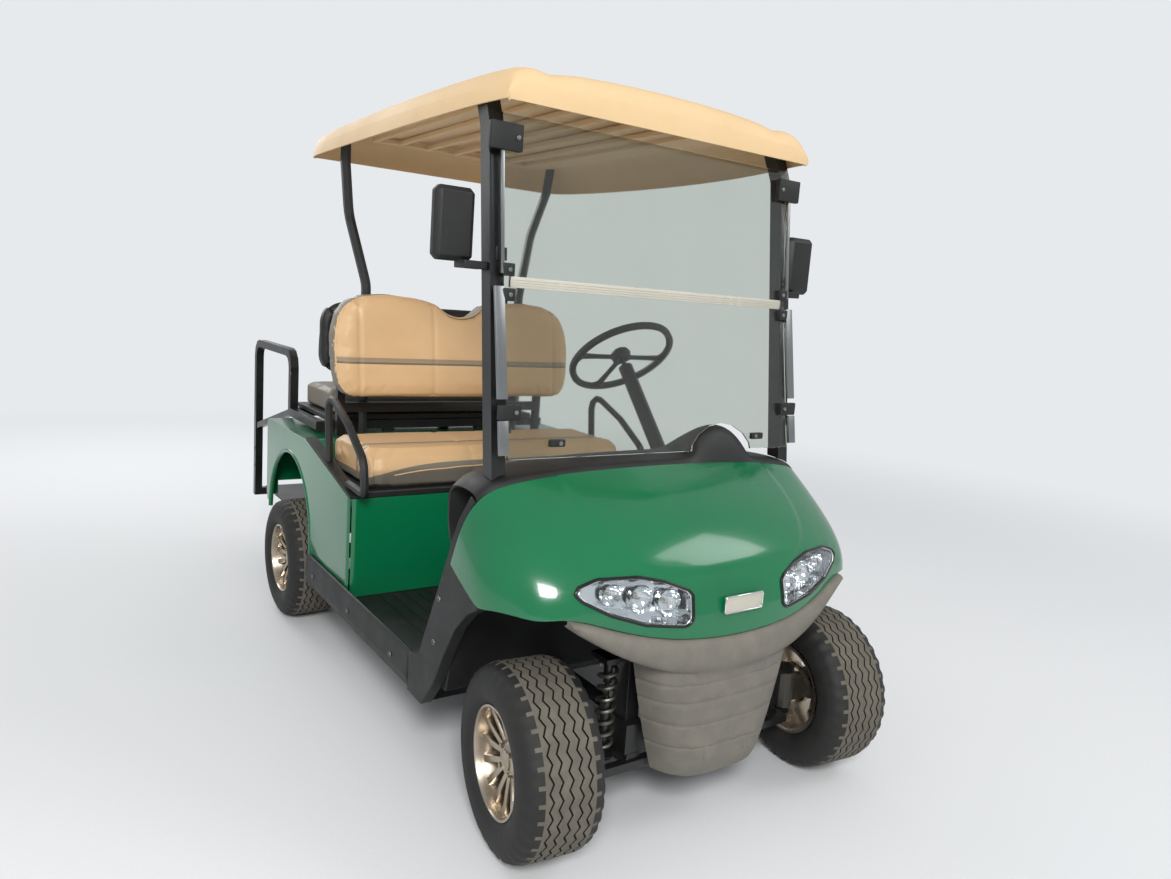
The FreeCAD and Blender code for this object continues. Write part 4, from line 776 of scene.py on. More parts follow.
@dataclass
class Wheel:
    """A street tyre on a twin-spoke alloy rim.

    Attributes:
        corner: The nodes' ending, such as front_left.
        steer: Turn about the kingpin at rest, in radians.
        flipped: Whether its face looks to -X.
        radius: Radius of the tyre.
        crown: Half width of the flat tread.
        steps: Steps round the tyre.
        spoke_pairs: Number of twin spokes.
    """

    corner: str
    steer: float = 0.0
    flipped: bool = False
    radius: float = 222 * MM
    crown: float = 60 * MM
    steps: int = 144
    spoke_pairs: int = 7

    def placement(self) -> Matrix:
        """Where the wheel's own frame lies: its axle along X, its face to +X."""
        low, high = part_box(f"rim_{self.corner}")
        turn = Matrix.Rotation(-self.steer, 4, "Z") @ Matrix.Rotation(math.pi * self.flipped, 4, "Z")
        return Matrix.Translation((low + high) / 2) @ turn

    def tyre(self) -> bpy.types.Object:
        """Tyre with zigzag grooves, cut shoulders and a ribbed sidewall."""
        top = self.radius
        deep = top - 0.0065
        half = [(0.0, deep), (0.0014, deep), (0.0024, top)]
        for groove in (0.024, 0.046):
            half += [(groove - 0.0024, top - 0.0002), (groove - 0.0014, deep),
                     (groove + 0.0014, deep), (groove + 0.0024, top - 0.0003)]
        half += [(self.crown, top - 0.0008), (0.074, top - 0.0045), (0.086, top - 0.0105),
                 (0.0925, top - 0.021), (0.0985, top - 0.036), (0.1018, top - 0.05),
                 (0.1006, top - 0.056), (0.1012, top - 0.062), (0.0985, top - 0.076),
                 (0.0955, 0.140), (0.0935, 0.1375), (0.0905, 0.1345), (0.085, 0.1285)]
        profile = [(-along, radius) for along, radius in reversed(half[1:])] + half
        shape = bmesh.new()
        ring = spun(shape, profile, self.steps)
        for vert in ring:
            radius = math.hypot(vert.co.y, vert.co.z)
            step = round(math.atan2(vert.co.y, vert.co.z) / (2 * math.pi) * self.steps)
            if abs(vert.co.x) < 0.052 and radius > top - 0.012:
                vert.co.x += (abs((step % 4) - 2) - 1) * 0.0048
            cut = 0.066 < abs(vert.co.x) < 0.094 and radius > top - 0.024
            if cut and step % 4 in (0, 1):
                vert.co.y *= 1 - 0.0035 / radius
                vert.co.z *= 1 - 0.0035 / radius
        shape.normal_update()
        for face in shape.faces:
            middle = face.calc_center_median()
            outer = math.hypot(middle.y, middle.z) > top - 0.003
            face.material_index = int(outer and abs(middle.x) < 0.075)
        shape.transform(self.placement())
        return new_piece(f"tyre_{self.corner}_tread", shape)

    def rim(self) -> bpy.types.Object:
        """Rim with a stepped barrel, seven twin spokes, a cap and four nuts."""
        shape = bmesh.new()
        spun(shape, [(0.088, 0.128), (0.0885, 0.1225), (0.083, 0.1195), (0.074, 0.1185),
                     (0.062, 0.1145), (0.02, 0.108), (-0.084, 0.114), (-0.088, 0.122),
                     (-0.088, 0.128), (-0.07, 0.1275), (0.07, 0.1275)], 72)
        spun(shape, [(0.0, 0.016), (0.046, 0.016), (0.056, 0.019), (0.058, 0.031),
                     (0.052, 0.040), (0.040, 0.046), (0.0, 0.046)], 48)
        spun(shape, [(0.05, 0.0005), (0.0605, 0.0005), (0.0625, 0.012), (0.060, 0.0235),
                     (0.05, 0.0245)], 36)
        for turn in range(self.spoke_pairs):
            for side in (-1, 1):
                corners = [(0.036, side * 0.004, 0.040), (0.036, side * 0.018, 0.038),
                           (0.052, side * 0.034, 0.113), (0.052, side * 0.016, 0.1165)]
                face = shape.faces.new([shape.verts.new(corner) for corner in corners])
                grown = bmesh.ops.extrude_face_region(shape, geom=[face])["geom"]
                lifted = [item for item in grown if isinstance(item, bmesh.types.BMVert)]
                bmesh.ops.translate(shape, verts=lifted, vec=(0.016, 0, 0))
                spoke = list(face.verts) + lifted
                done = soften(shape, edges_of(spoke), 0.0022)
                made = {vert for item in done["faces"] for vert in item.verts} | set(done["verts"])
                bmesh.ops.rotate(shape, verts=list(made), cent=(0, 0, 0),
                                 matrix=Matrix.Rotation(2 * math.pi * turn / self.spoke_pairs, 3, "X"))
        for turn in range(4):
            angle = math.pi / 4 + math.pi / 2 * turn
            centre = Vector((0.052, 0.0335 * math.sin(angle), 0.0335 * math.cos(angle)))
            add_drum(shape, centre, Vector((1, 0, 0)), 0.0075, 0.011, 6, 0.0062)
        shape.transform(self.placement())
        return new_piece(f"rim_{self.corner}_cast", shape)

    def build(self, finishes: Finishes) -> None:
        """Makes the tyre and the rim and puts them on the wheel's body."""
        body = f"wheel_{self.corner}"
        for piece, finish, node in ((self.tyre(), "road_rubber", f"tyre_{self.corner}"),
                                    (self.rim(), "cast_alloy", f"rim_{self.corner}")):
            finishes.assign(piece, finish, body)
            if finish == "road_rubber":
                piece.data.materials.append(finishes.made["dusty_tread_rubber"])
            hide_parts(node)
        LOG.info("wheel %s", self.corner)


@dataclass
class Cushion:
    """A sewn pad blown up by cloth simulation from its CAD solid.

    Attributes:
        node: The CAD node.
        body: The body that it rides.
        finish: Its vinyl.
        inset: How much smaller it starts, per side, in metres.
        voxel: Mesh size of the starting shape.
        cap: The most that a point may move.
        channels: Sewn lines: axis, place along it and depth.
        second_finish: Its other cloth, or nothing.
        split: Where that lies: gusset is all but the face to -Y, shell all but the face to +Y.
        corner: Radius of its corners in plan.
        plan: Both axes of the plan.
        pressure: Air pressure of the simulation.
        frames: Length of the simulation.
        slack: How far a point may pass the solid's box.
        sewn_half: Half width of a sewn channel.
    """

    node: str
    body: str
    finish: str
    inset: float = 0.007
    voxel: float = 0.008
    cap: float = 0.016
    fill: float = 0.8
    channels: tuple[tuple[int, float, float], ...] = ()
    second_finish: str = ""
    split: str = ""
    corner: float = 0.03
    plan: tuple[int, int] = (0, 2)
    pressure: float = 4.0
    frames: int = 20
    slack: float = 0.004
    sewn_half: float = 0.012

    def start(self, frame: dict) -> bpy.types.Object:
        """The pad's starting shape: the solid, slightly smaller and evenly remeshed."""
        shape = node_shape(frame, self.node)
        low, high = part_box(self.node)
        middle = (low + high) / 2
        for vert in shape.verts:
            for axis in range(3):
                half = (high[axis] - low[axis]) / 2
                vert.co[axis] = middle[axis] + (vert.co[axis] - middle[axis]) * (1 - self.inset / half)
        piece = new_piece(f"{self.node}_pad", shape)
        remesh = piece.modifiers.new("even", "REMESH")
        remesh.mode = "VOXEL"
        remesh.voxel_size = self.voxel
        bake(piece)
        for vert in piece.data.vertices:
            self.round_corner(vert, middle, (high - low) / 2)
        return piece

    def round_corner(self, vert: bpy.types.MeshVertex, middle: Vector, half: Vector) -> None:
        """Draws a point in towards its rounded corner, seen along the third axis."""
        over = [abs(vert.co[axis] - middle[axis]) - (half[axis] - self.corner)
                for axis in self.plan]
        if min(over) > 0:
            share = max(over) / math.hypot(*over)
            for axis, reach in zip(self.plan, over):
                edge = half[axis] - self.corner + reach * share
                vert.co[axis] = middle[axis] + math.copysign(edge, vert.co[axis] - middle[axis])

    def second(self, polygon: bpy.types.MeshPolygon) -> bool:
        """Whether a face belongs to the second cloth."""
        if self.split == "gusset":
            return polygon.normal.y > -0.35
        return polygon.normal.y < 0.35

    def inflate(self, piece: bpy.types.Object) -> None:
        """Runs the cloth simulation and keeps each point within the cap of its start."""
        rest = [vert.co.copy() for vert in piece.data.vertices]
        cloth = piece.modifiers.new("cloth", "CLOTH")
        cloth.settings.use_pressure = True
        cloth.settings.uniform_pressure_force = self.pressure
        cloth.settings.effector_weights.gravity = 0.0
        cloth.settings.quality = 4
        scene = bpy.context.scene
        for step in range(1, self.frames + 1):
            scene.frame_set(step)
        graph = bpy.context.evaluated_depsgraph_get()
        blown = piece.evaluated_get(graph).to_mesh()
        places = [vert.co.copy() for vert in blown.vertices]
        piece.modifiers.clear()
        scene.frame_set(1)
        low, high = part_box(self.node)
        for vert, old, new in zip(piece.data.vertices, rest, places):
            move = new - old
            if move.length > self.cap:
                move = move.normalized() * self.cap
            spot = old + move
            for axis in range(3):
                spot[axis] = min(max(spot[axis], low[axis] - self.slack), high[axis] + self.slack)
            vert.co = spot

    def sew(self, piece: bpy.types.Object) -> None:
        """Draws the sewn channels in along their lines."""
        normals = [normal.vector.copy() for normal in piece.data.vertex_normals]
        for axis, place, depth in self.channels:
            for vert, normal in zip(piece.data.vertices, normals):
                away = abs(vert.co[axis] - place)
                if away < self.sewn_half:
                    vert.co -= normal * depth * (1 - (away / self.sewn_half) ** 2) ** 2

    def build(self, frame: dict, finishes: Finishes) -> bpy.types.Object:
        """Makes the pad.

        Args:
            finishes: The materials.

        Returns:
            The finished pad.
        """
        piece = self.start(frame)
        self.inflate(piece)
        self.sew(piece)
        piece.data.polygons.foreach_set("use_smooth", [True] * len(piece.data.polygons))
        smooth = piece.modifiers.new("round", "SUBSURF")
        smooth.levels = 1
        smooth.render_levels = 1
        finishes.assign(piece, self.finish, self.body)
        if self.second_finish:
            piece.data.materials.append(finishes.made[self.second_finish])
            for polygon in piece.data.polygons:
                polygon.material_index = int(self.second(polygon))
        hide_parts(self.node)
        LOG.info("%s padded, %d faces", self.node, len(piece.data.polygons))
        return piece


@dataclass
class Lamps:
    """Bowls, beads, dark gasket and bright ring of both headlights.

    Attributes:
        bowls: X, Y, Z and radius of the left lamp's bowls.
    """

    bowls: tuple[tuple[float, float, float, float], ...] = (
        (0.196, -1.2700, 0.598, 0.033), (0.268, -1.2570, 0.612, 0.033), (0.338, -1.2380, 0.624, 0.026))

    @staticmethod
    def edge_of(frame: dict) -> list[Vector]:
        """Corners of the left lens' front edge, in order round it."""
        shape = node_shape(frame, "headlight_lenses")
        found = set()
        for edge in shape.edges:
            sides = sorted(face.normal.y for face in edge.link_faces)
            if len(sides) == 2 and sides[0] < -0.35 and abs(sides[1]) < 0.2:
                found.update(vert for vert in edge.verts if vert.co.x > 0)
        points = [vert.co.copy() for vert in found]
        shape.free()
        middle = sum(points, Vector()) / len(points)
        return sorted(points, key=lambda spot: math.atan2(spot.z - middle.z, spot.x - middle.x))

    def build(self, frame: dict, finishes: Finishes) -> None:
        """Makes both lamps' insides and rims.

        Args:
            finishes: The materials.
        """
        edge = self.edge_of(frame)
        middle = sum(edge, Vector()) / len(edge)
        bowls = bmesh.new()
        beads = bmesh.new()
        for side, label in SIDES:
            mirror = Matrix.Diagonal((side, 1, 1))
            outer = [mirror @ (spot + Vector((0, -0.001, 0))) for spot in edge]
            inner = [mirror @ (middle + (spot - middle) * 0.955 + Vector((0, -0.0015, 0)))
                     for spot in edge]
            for points, radius, name, finish in (
                    (outer, 0.0042, "lamp_gasket", "lamp_rim_black"),
                    (inner, 0.002, "lamp_ring", "metallised_bowl")):
                piece = tube(f"{name}_{label}", points, radius, closed=True)
                finishes.assign(piece, finish)
            for x, y, z, radius in self.bowls:
                ring = spun(bowls, [(0.0, radius), (-0.004, radius), (-0.018, radius * 0.72),
                                    (-0.026, radius * 0.3), (-0.027, 0.0005), (-0.029, 0.0005),
                                    (-0.028, radius * 0.4), (-0.02, radius * 0.84)], 32)
                place = Matrix.Translation((side * x, y, z)) @ Matrix.Rotation(-math.pi / 2, 4, "Z")
                bmesh.ops.transform(bowls, matrix=place, verts=ring)
                centre = Vector((side * x, y + 0.024, z))
                add_drum(beads, centre, Vector((0, -1, 0)), radius * 0.2, 0.016, 16, radius * 0.12)
        for shape, name, finish in ((bowls, "lamp_bowls", "metallised_bowl"),
                                    (beads, "lamp_beads", "blank_plate_satin")):
            finishes.assign(new_piece(name, shape), finish)
        LOG.info("lamps")


@dataclass
class WindshieldTrim:
    """Seam bar, strut faces, clamps and latches of the two clear sheets.

    Attributes:
        half: Half width of the sheets.
        low: Y and Z of their front face at the foot.
        seam: The same at the seam.
        high: The same at the top.
    """

    half: float = 474 * MM
    low: tuple[float, float] = (-0.97266, 0.888)
    seam: tuple[float, float] = (-0.89966, 1.302)
    high: tuple[float, float] = (-0.85666, 1.688)

    def face(self, height: float) -> float:
        """Station of the sheets' front face at a height."""
        (y0, z0), (y1, z1) = (self.low, self.seam) if height < self.seam[1] else (self.seam, self.high)
        return y0 + (height - z0) / (z1 - z0) * (y1 - y0)

    def build(self, finishes: Finishes) -> None:
        """Makes the trim and lays it on the sheets."""
        bar = bmesh.new()
        y = self.face(1.3)
        for front, back in ((-0.0045, -0.0003), (0.0058, 0.0095)):
            add_bar(bar, (-self.half + 0.02, y + front, 1.289),
                    (self.half - 0.02, y + back, 1.315), 0.001)
        for height in (1.296, 1.302, 1.308):
            add_bar(bar, (-self.half + 0.02, y - 0.0058, height - 0.0008),
                    (self.half - 0.02, y - 0.004, height + 0.0008), 0.0004)
        black = bmesh.new()
        bright = bmesh.new()
        # height, tallness, nearest and farthest distance from the middle, reach before the sheet
        clamps = ((1.632, 0.062, 0.428, 0.513, 0.018), (1.33, 0.03, 0.446, 0.478, 0.012),
                  (1.272, 0.03, 0.446, 0.478, 0.012), (1.0, 0.036, 0.44, 0.5, 0.014),
                  (0.925, 0.018, 0.318, 0.362, 0.014))
        for side in (-1, 1):
            for height, tall, near, far, front in clamps:
                inner, outer = sorted((side * near, side * far))
                y = self.face(height)
                add_bar(black, (inner, y - front, height - tall / 2),
                        (outer, y - 0.001, height + tall / 2), 0.003)
                knob = Vector((side * (near + 0.014), y - front + 0.001, height))
                add_drum(bright, knob, Vector((0, -1, 0)), 0.006, 0.004, 18, 0.005, 0.0008)
            for low, high, x, wide in ((1.03, 1.29, 0.487, 0.026), (1.32, 1.6, 0.4785, 0.009),
                                       (0.9, 0.98, 0.487, 0.026)):
                start = Vector((side * x, self.face(low) - 0.006, low))
                end = Vector((side * x, self.face(high) - 0.006, high))
                add_beam(bright, start, end, wide, 0.009)
        for shape, name, finish in ((bar, "seam_bar", "seam_profile_vinyl"),
                                    (black, "sheet_clamps", "grained_olefin_black"),
                                    (bright, "strut_faces", "satin_aluminium")):
            finishes.assign(new_piece(name, shape), finish)
        LOG.info("windshield trim")


@dataclass
class NosePlate:
    """Blank plate with a raised rim on the nose.

    Attributes:
        centre: Its middle.
        size: Its size along X, Y and Z.
    """

    centre: tuple[float, float, float] = (0.0, -1.3155, 0.588)
    size: tuple[float, float, float] = (0.122, 0.005, 0.04)

    def build(self, finishes: Finishes) -> None:
        """Makes the plate and its rim."""
        x, y, z = self.centre
        wide, deep, tall = (extent / 2 for extent in self.size)
        shape = bmesh.new()
        add_bar(shape, (x - wide, y - deep, z - tall), (x + wide, y + deep, z + tall), 0.002)
        finishes.assign(new_piece("nose_plate_blank", shape), "blank_plate_satin")
        corners = [(x + across * wide, y - deep, z + up * tall) for across, up in (
            (-0.94, 1), (0.94, 1), (1, 0.8), (1, -0.8), (0.94, -1), (-0.94, -1), (-1, -0.8), (-1, 0.8))]
        rim = tube("nose_plate_rim", corners, 0.0022, closed=True, soft=False)
        finishes.assign(rim, "metallised_bowl")
        LOG.info("nose plate")


@dataclass
class CoilSpring:
    """Front coil-over: wound spring between two seats round its damper.

    Attributes:
        label: Side of the cart.
        side: 1 for the left.
        x: Distance of its axis from the middle.
        low: Height of the lower seat.
        high: Height of the upper seat.
        radius: Radius of the coil.
        turns: Turns of the coil.
        wire: Radius of the wire.
    """

    label: str
    side: int
    x: float = 0.261
    low: float = 0.1755
    high: float = 0.4275
    radius: float = 0.0222
    turns: float = 7.5
    wire: float = 0.0048

    def build(self, finishes: Finishes) -> None:
        """Winds the spring and adds the damper."""
        steps = int(self.turns * 12)
        points = []
        for step in range(steps + 1):
            angle = 2 * math.pi * step / 12
            height = self.low + 0.012 + (self.high - self.low - 0.024) * step / steps
            points.append((self.side * self.x + self.radius * math.cos(angle),
                           FRONT_AXLE + self.radius * math.sin(angle), height))
        spring = tube(f"coil_spring_{self.label}", points, self.wire, rounds=2)
        finishes.assign(spring, "zinc_plated_steel")
        shape = bmesh.new()
        foot = Vector((self.side * self.x, FRONT_AXLE, self.low))
        tall = self.high - self.low
        up = Vector((0, 0, 1))
        for start, length, radius in ((0, 0.007, 0.0275), (0, tall * 0.58, 0.0135),
                                      (0, tall, 0.0065), (tall - 0.007, 0.007, 0.0275),
                                      (tall - 0.06, 0.053, 0.0115)):
            add_drum(shape, foot + up * start, up, radius, length, 24, bevel=0.001)
        damper = finishes.assign(new_piece(f"damper_{self.label}", shape), "powder_coated_steel")
        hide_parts("coilovers")
        LOG.info("coil spring %s", self.label)


@dataclass
class Piping:
    """Sewn welts of the front bench.

    Attributes:
        hump: Left half of the backrest's outline: X and rise in mm.
    """

    hump: tuple[tuple[float, float], ...] = (
        (0, 320), (48, 326), (84, 352), (112, 374), (180, 384), (302, 390), (392, 378), (448, 352),
        (482, 306), (500, 236), (501, 132), (488, 50), (462, 14), (424, 0))

    @staticmethod
    def lay(pad: bpy.types.Object, points: list) -> list[Vector]:
        """Moves points to the nearest places of a pad's skin."""
        return [pad.closest_point_on_mesh(Vector(point))[1] for point in points]

    def build(self, finishes: Finishes, backrest: bpy.types.Object,
              cushion: bpy.types.Object) -> None:
        """Lays a welt round the backrest's face and an arched one across the cushion's front.

        Args:
            finishes: The materials.
            backrest: The front bench's back pad.
            cushion: Its seat pad.
        """
        outline = list(self.hump) + [(-x, rise) for x, rise in reversed(self.hump[1:])]
        points = [(x * MM, 0.2405 + 0.1487 * rise * MM, 0.866 + rise * MM) for x, rise in outline]
        welt = tube("backrest_welt", self.lay(backrest, points), 0.0034, closed=True)
        finishes.assign(welt, "sewn_vinyl_tan_seat")
        arch = [(0.045 * step, -0.175, 0.638 + 0.062 * (1 - (step / 10) ** 2)) for step in range(-9, 10)]
        front = tube("cushion_welt", self.lay(cushion, arch), 0.0024)
        finishes.assign(front, "sewn_vinyl_tan_back", "front_seat_lid")
        LOG.info("piping")


@dataclass
class SmallParts:
    """Bolts, mat ribs, roof ribs, flares, dash fittings, mirror glass and bezels.

    Attributes:
        arch_centre: Height of the rear arches' centre.
        arch_radius: Radius of their flares.
    """

    arch_centre: float = 0.362
    arch_radius: float = 0.274

    def both(self, shape: bmesh.types.BMesh, low: tuple, high: tuple, bevel: float) -> None:
        """Adds a block on the left and its mirror image."""
        add_bar(shape, low, high, bevel)
        add_bar(shape, (-high[0], low[1], low[2]), (-low[0], high[1], high[2]), bevel)

    def bolts(self) -> bmesh.types.BMesh:
        """Pan-head bolts on the quarters, sills and rear frame."""
        shape = bmesh.new()
        for x, y, z in ((0.5745, -0.83, 0.4), (0.5745, -0.85, 0.52), (0.578, 0.16, 0.262),
                        (0.578, -0.2, 0.262), (0.578, -0.56, 0.262), (0.488, 0.8, 0.9),
                        (0.488, 1.36, 0.5), (0.488, 1.36, 0.42)):
            for side in (-1, 1):
                add_drum(shape, Vector((side * x, y, z)), Vector((side, 0, 0)), 0.0085, 0.003, 20,
                         0.006, 0.0008)
                add_drum(shape, Vector((side * (x + 0.003), y, z)), Vector((side, 0, 0)), 0.0035,
                         0.0012, 6)
        return shape

    def ribs(self) -> bmesh.types.BMesh:
        """Ribs of the rubber floor mat."""
        shape = bmesh.new()
        for step in range(-11, 12):
            x = step * 0.041
            add_bar(shape, (x - 0.006, -0.66, 0.2815), (x + 0.006, -0.17, 0.285), 0.001)
        return shape

    def roof_ribs(self) -> bmesh.types.BMesh:
        """Stiffening ribs under the roof."""
        shape = bmesh.new()
        for x in (0.0, 0.11, 0.22, 0.31):
            for side in ((1,) if x == 0 else (-1, 1)):
                add_bar(shape, (side * x - 0.009, -0.78, 1.784), (side * x + 0.009, 0.42, 1.8), 0.003)
        for y in (-0.76, 0.4):
            add_bar(shape, (-0.32, y - 0.01, 1.784), (0.32, y + 0.01, 1.799), 0.003)
        return shape

    def dash(self) -> bmesh.types.BMesh:
        """Key switch, charge gauge, cup holders and glove pocket rims of the dash."""
        shape = bmesh.new()
        rear = Vector((0, 1, 0))
        for x, z, radius in ((0.13, 0.715, 0.016), (0.06, 0.715, 0.011), (-0.02, 0.715, 0.022)):
            add_drum(shape, Vector((x, -0.806, z)), rear, radius, 0.007, 28, radius * 0.9, 0.001)
        for x in (-0.42, -0.16):
            for near, far, low, high in ((0, 0.2, 0.69, 0.696), (0, 0.2, 0.74, 0.746),
                                         (0, 0.006, 0.69, 0.746), (0.194, 0.2, 0.69, 0.746)):
                add_bar(shape, (x + near, -0.81, low), (x + far, -0.798, high), 0.002)
        return shape

    def build(self, finishes: Finishes) -> None:
        """Makes every small part and puts it on its body."""
        glass = bmesh.new()
        self.both(glass, (0.539, -0.8165, 1.352), (0.619, -0.8145, 1.496), 0.001)
        cap = bmesh.new()
        up = Vector((0, math.cos(math.radians(49)), math.sin(math.radians(49))))
        add_drum(cap, Vector((0.272, -0.3877, 1.096)) + up * 0.006, up, 0.036, 0.016, 40, 0.03, 0.003)
        rows = ((self.bolts(), "panel_bolts", "zinc_plated_steel", "chassis"),
                (self.ribs(), "mat_ribs", "grained_olefin_black", "chassis"),
                (self.roof_ribs(), "roof_ribs", "rotomoulded_polyethylene", "chassis"),
                (self.dash(), "dash_fittings", "lamp_rim_black", "chassis"),
                (glass, "mirror_glass", "metallised_bowl", "chassis"),
                (cap, "wheel_cap", "lamp_rim_black", "steering"))
        for shape, name, finish, body in rows:
            finishes.assign(new_piece(name, shape), finish, body)
        for side, label in SIDES:
            flare = [(side * 0.555, REAR_AXLE - self.arch_radius, 0.292)]
            flare += [(side * 0.555, REAR_AXLE - self.arch_radius * math.cos(math.pi * step / 16),
                       self.arch_centre + self.arch_radius * math.sin(math.pi * step / 16))
                      for step in range(17)]
            finishes.assign(tube(f"arch_flare_{label}", flare, 0.009), "painted_abs_green")
            ring = [(side * 0.504 + 0.0355 * math.cos(math.pi * step / 8), 0.863,
                     0.646 + 0.0355 * math.sin(math.pi * step / 8)) for step in range(16)]
            bezel = tube(f"tail_lamp_bezel_{label}", ring, 0.004, closed=True)
            finishes.assign(bezel, "lamp_rim_black")
        LOG.info("small parts")


@dataclass
class Studio:
    """Camera, lights, surroundings and floor.

    Attributes:
        place: Where the photograph was taken, in metres.
        yaw: Turn of the view about Z, in radians.
        pitch: How far it looks down.
        roll: How far it leans.
        focal: Focal length in pixels.
        width: Width of the photograph in pixels.
        surround: Colour of the surroundings.
        seen_level: Their brightness to the camera.
    """

    place: tuple[float, float, float] = (-1.45022, -2.68924, 1.26241)
    yaw: float = 0.608
    pitch: float = 0.157
    roll: float = 0.073
    focal: float = 851.7
    width: int = 1171
    surround: str = "#f2f5f8"
    seen_level: float = 0.9

    def camera(self) -> None:
        """Sets the camera where the photograph was taken."""
        forward = Vector((math.sin(self.yaw) * math.cos(self.pitch),
                          math.cos(self.yaw) * math.cos(self.pitch), -math.sin(self.pitch)))
        flat = Vector((math.cos(self.yaw), -math.sin(self.yaw), 0))
        high = flat.cross(forward)
        right = flat * math.cos(self.roll) + high * math.sin(self.roll)
        up = high * math.cos(self.roll) - flat * math.sin(self.roll)
        data = bpy.data.cameras.new("photo_camera")
        data.sensor_width = 36.0
        data.sensor_fit = "HORIZONTAL"
        data.lens = 36.0 * self.focal / self.width
        data.clip_end = 60.0
        camera = linked("photo_camera", data)
        camera.matrix_world = Matrix.Translation(self.place) @ Matrix(
            (right, up, -forward)).transposed().to_4x4()
        bpy.context.scene.camera = camera

    @staticmethod
    def lamp(name: str, place: tuple, aim: tuple, size: float, power: float) -> None:
        """Adds a soft square light.

        Args:
            name: Its name.
            place: Where it stands.
            aim: What it looks at.
            size: Side length.
            power: Watts.
        """
        data = bpy.data.lights.new(name, "AREA")
        data.shape = "SQUARE"
        data.size = size
        data.energy = power
        light = linked(name, data)
        light.location = place
        light.rotation_euler = (Vector(aim) - Vector(place)).to_track_quat("-Z", "Y").to_euler()

    def world(self) -> None:
        """Pale surroundings, brighter to the camera and through glass than as light."""
        world = bpy.data.worlds.new("studio")
        bpy.context.scene.world = world
        tree = empty_tree(world)
        level = add_node(tree, "ShaderNodeMapRange", {"Value": self.seen_rays(tree), "To Min": 0.6,
                                                      "To Max": self.seen_level})
        shade = add_node(tree, "ShaderNodeBackground",
                         {"Color": linear(self.surround), "Strength": level.outputs["Result"]})
        add_node(tree, "ShaderNodeOutputWorld", {"Surface": shade.outputs["Background"]})

    @staticmethod
    def seen_rays(tree: bpy.types.NodeTree) -> bpy.types.NodeSocket:
        """1 for what the camera sees directly or through glass.

        Args:
            tree: The node tree that it joins.

        Returns:
            The output with the 1 or 0.
        """
        rays = add_node(tree, "ShaderNodeLightPath")
        return calc(tree, "MAXIMUM", rays.outputs["Is Camera Ray"],
                    rays.outputs["Is Transmission Ray"])

    def floor(self) -> None:
        """Plain pale floor under the wheels."""
        shape = bmesh.new()
        bmesh.ops.create_grid(shape, x_segments=1, y_segments=1, size=14.0)
        bmesh.ops.translate(shape, verts=shape.verts, vec=(0, 0, -0.0006))
        floor = new_piece("studio_floor", shape)
        material = bpy.data.materials.new("matt_floor")
        tree = empty_tree(material)
        place = add_node(tree, "ShaderNodeTexCoord").outputs["Object"]
        grain = add_node(tree, "ShaderNodeTexNoise", {"Vector": place, "Scale": 180.0})
        tone = Finish.mix(tree, grain.outputs["Fac"], "#dadbdc", "#e2e3e4")
        shader = add_node(tree, "ShaderNodeBsdfPrincipled", {"Base Color": tone, "Roughness": 0.9})
        # far from the cart the floor takes the colour of the surroundings, so no edge shows
        far = add_node(tree, "ShaderNodeVectorMath", {0: place}, operation="LENGTH")
        fade = add_node(tree, "ShaderNodeMapRange",
                        {"Value": far.outputs["Value"], "From Min": 2.4, "From Max": 6.5},
                        interpolation_type="SMOOTHSTEP")
        seen = calc(tree, "MULTIPLY", fade.outputs["Result"], self.seen_rays(tree))
        pale = add_node(tree, "ShaderNodeEmission",
                        {"Color": linear(self.surround), "Strength": self.seen_level})
        both = add_node(tree, "ShaderNodeMixShader",
                        {0: seen, 1: shader.outputs["BSDF"], 2: pale.outputs["Emission"]})
        add_node(tree, "ShaderNodeOutputMaterial", {"Surface": both.outputs["Shader"]})
        floor.data.materials.append(material)

    def build(self) -> None:
        """Sets the whole stage."""
        self.camera()
        self.world()
        self.floor()
        self.lamp("key", (-3.2, -5.6, 4.4), (0, -0.4, 0.8), 1.8, 350.0)
        self.lamp("fill", (4.6, -4.4, 5.6), (0, 0, 0.8), 3.0, 120.0)
        self.lamp("back", (-1.0, 5.0, 3.4), (0, 0, 1.0), 3.0, 110.0)
        bpy.context.scene.view_settings.view_transform = "Standard"
        LOG.info("studio")


# node, finish and bevel width of the chassis' crisp-edged forms
CRISP = (
    ("quarters", "grained_olefin_black", 0.003),
    ("sills", "grained_olefin_black", 0.004),
    ("floor_pan", "grained_olefin_black", 0.003),
    ("rear_body", "painted_abs_green", 0.004),
    ("seat_base", "grained_olefin_black", 0.004),
    ("hip_restraints", "grained_olefin_black", 0.002),
    ("rear_frame", "powder_coated_steel", 0.003),
    ("front_struts", "powder_coated_steel", 0.003),
    ("rear_struts", "powder_coated_steel", 0.001),
    ("chassis_frame", "powder_coated_steel", 0.003),
    ("front_suspension", "powder_coated_steel", 0.002),
    ("mirrors", "grained_olefin_black", 0.004),
    ("foot_plate", "deck_plate", 0.002),
)
CARRIED = (
    Hood("front_cowl", "chassis", "painted_abs_green", Edge.SOFT, levels=3, crease=55.0),
    CarriedForm("dash_panel", "chassis", "grained_olefin_black", Edge.SOFT, crease=60.0),
    GroovedBumper("front_bumper", "chassis", "weathered_olefin_grey", Edge.SOFT, crease=55.0),
    CarriedForm("roof", "chassis", "rotomoulded_polyethylene", Edge.SOFT, crease=60.0),
    *(CarriedForm(node, "chassis", finish, width=width) for node, finish, width in CRISP),
    CarriedForm("rear_deck", "rear_seat_flip", "deck_plate", width=0.002),
    CarriedForm("steering_wheel", "steering", "grained_olefin_black", Edge.SOFT, levels=1, crease=70.0),
)
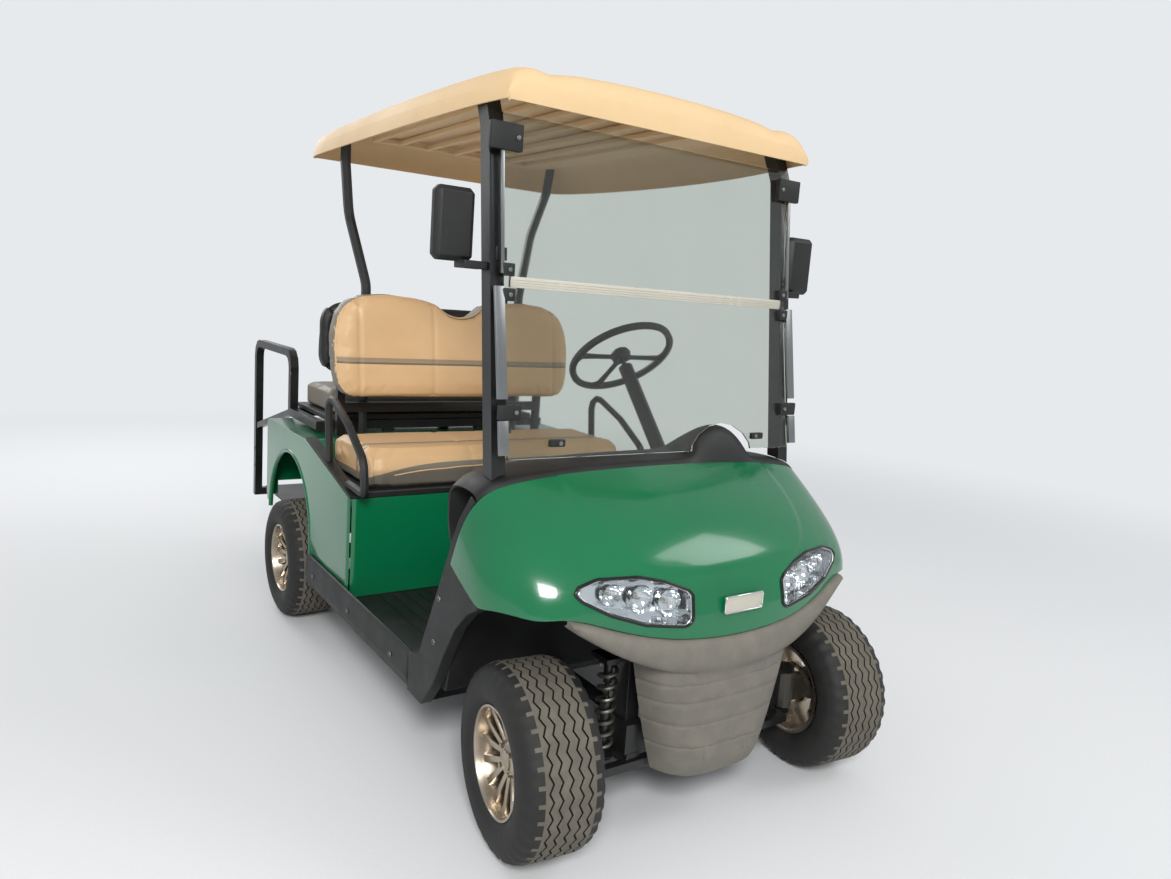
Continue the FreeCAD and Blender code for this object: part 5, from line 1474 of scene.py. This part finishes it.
PLAIN = (
    ("powder_coated_steel", ("rear_axle", "rear_suspension", "backrest_supports", "pedals",
                             "steering_column")),
    ("zinc_plated_steel", ("knuckle_left", "knuckle_right")),
    ("clear_polycarbonate", ("windshield_upper", "windshield_lower")),
    ("battery_polypropylene", ("battery_pack",)),
    ("red_acrylic", ("tail_lights",)),
    ("metallised_bowl", ("headlight_housings",)),
    ("fluted_polycarbonate", ("headlight_lenses",)),
)
CUSHIONS = (
    Cushion("front_cushion", "front_seat_lid", "sewn_vinyl_tan_seat", corner=0.06, plan=(0, 1),
            channels=((1, -0.017, 0.004), (0, 0.13, 0.004), (0, -0.13, 0.004))),
    Cushion("front_backrest", "chassis", "sewn_vinyl_tan_back", inset=0.003, cap=0.01, corner=0.001,
            channels=((2, 1.007, 0.004), (0, 0.115, 0.005), (0, -0.115, 0.005),
                      (0, 0.4, 0.004), (0, -0.4, 0.004)),
            second_finish="sewn_vinyl_taupe", split="gusset"),
    Cushion("rear_cushion", "rear_seat_flip", "sewn_vinyl_taupe", corner=0.06, plan=(0, 1),
            channels=((0, 0.0, 0.005), (0, 0.3, 0.003), (0, -0.3, 0.003))),
    Cushion("rear_backrest", "chassis", "sewn_vinyl_taupe", inset=0.005, corner=0.1,
            second_finish="grained_olefin_black", split="shell"),
)
WHEELS = (Wheel("front_left", STEER_REST), Wheel("front_right", STEER_REST, True),
          Wheel("rear_left"), Wheel("rear_right", 0.0, True))


def main() -> None:
    """Builds the cart's looks in order."""
    logging.basicConfig(level=logging.INFO, format="%(message)s")
    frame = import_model()
    finishes = Finishes()
    for form in CARRIED:
        form.build(frame, finishes)
    for finish, nodes in PLAIN:
        for node in nodes:
            PlainNode(node, finish).build(frame, finishes)
    for wheel in WHEELS:
        wheel.build(finishes)
    pads = [cushion.build(frame, finishes) for cushion in CUSHIONS]
    bpy.context.view_layer.update()
    Piping().build(finishes, pads[1], pads[0])
    Lamps().build(frame, finishes)
    for part in (WindshieldTrim(), NosePlate(), CoilSpring("left", 1), CoilSpring("right", -1),
                 SmallParts()):
        part.build(finishes)
    Studio().build()


if __name__ == "__main__":
    main()
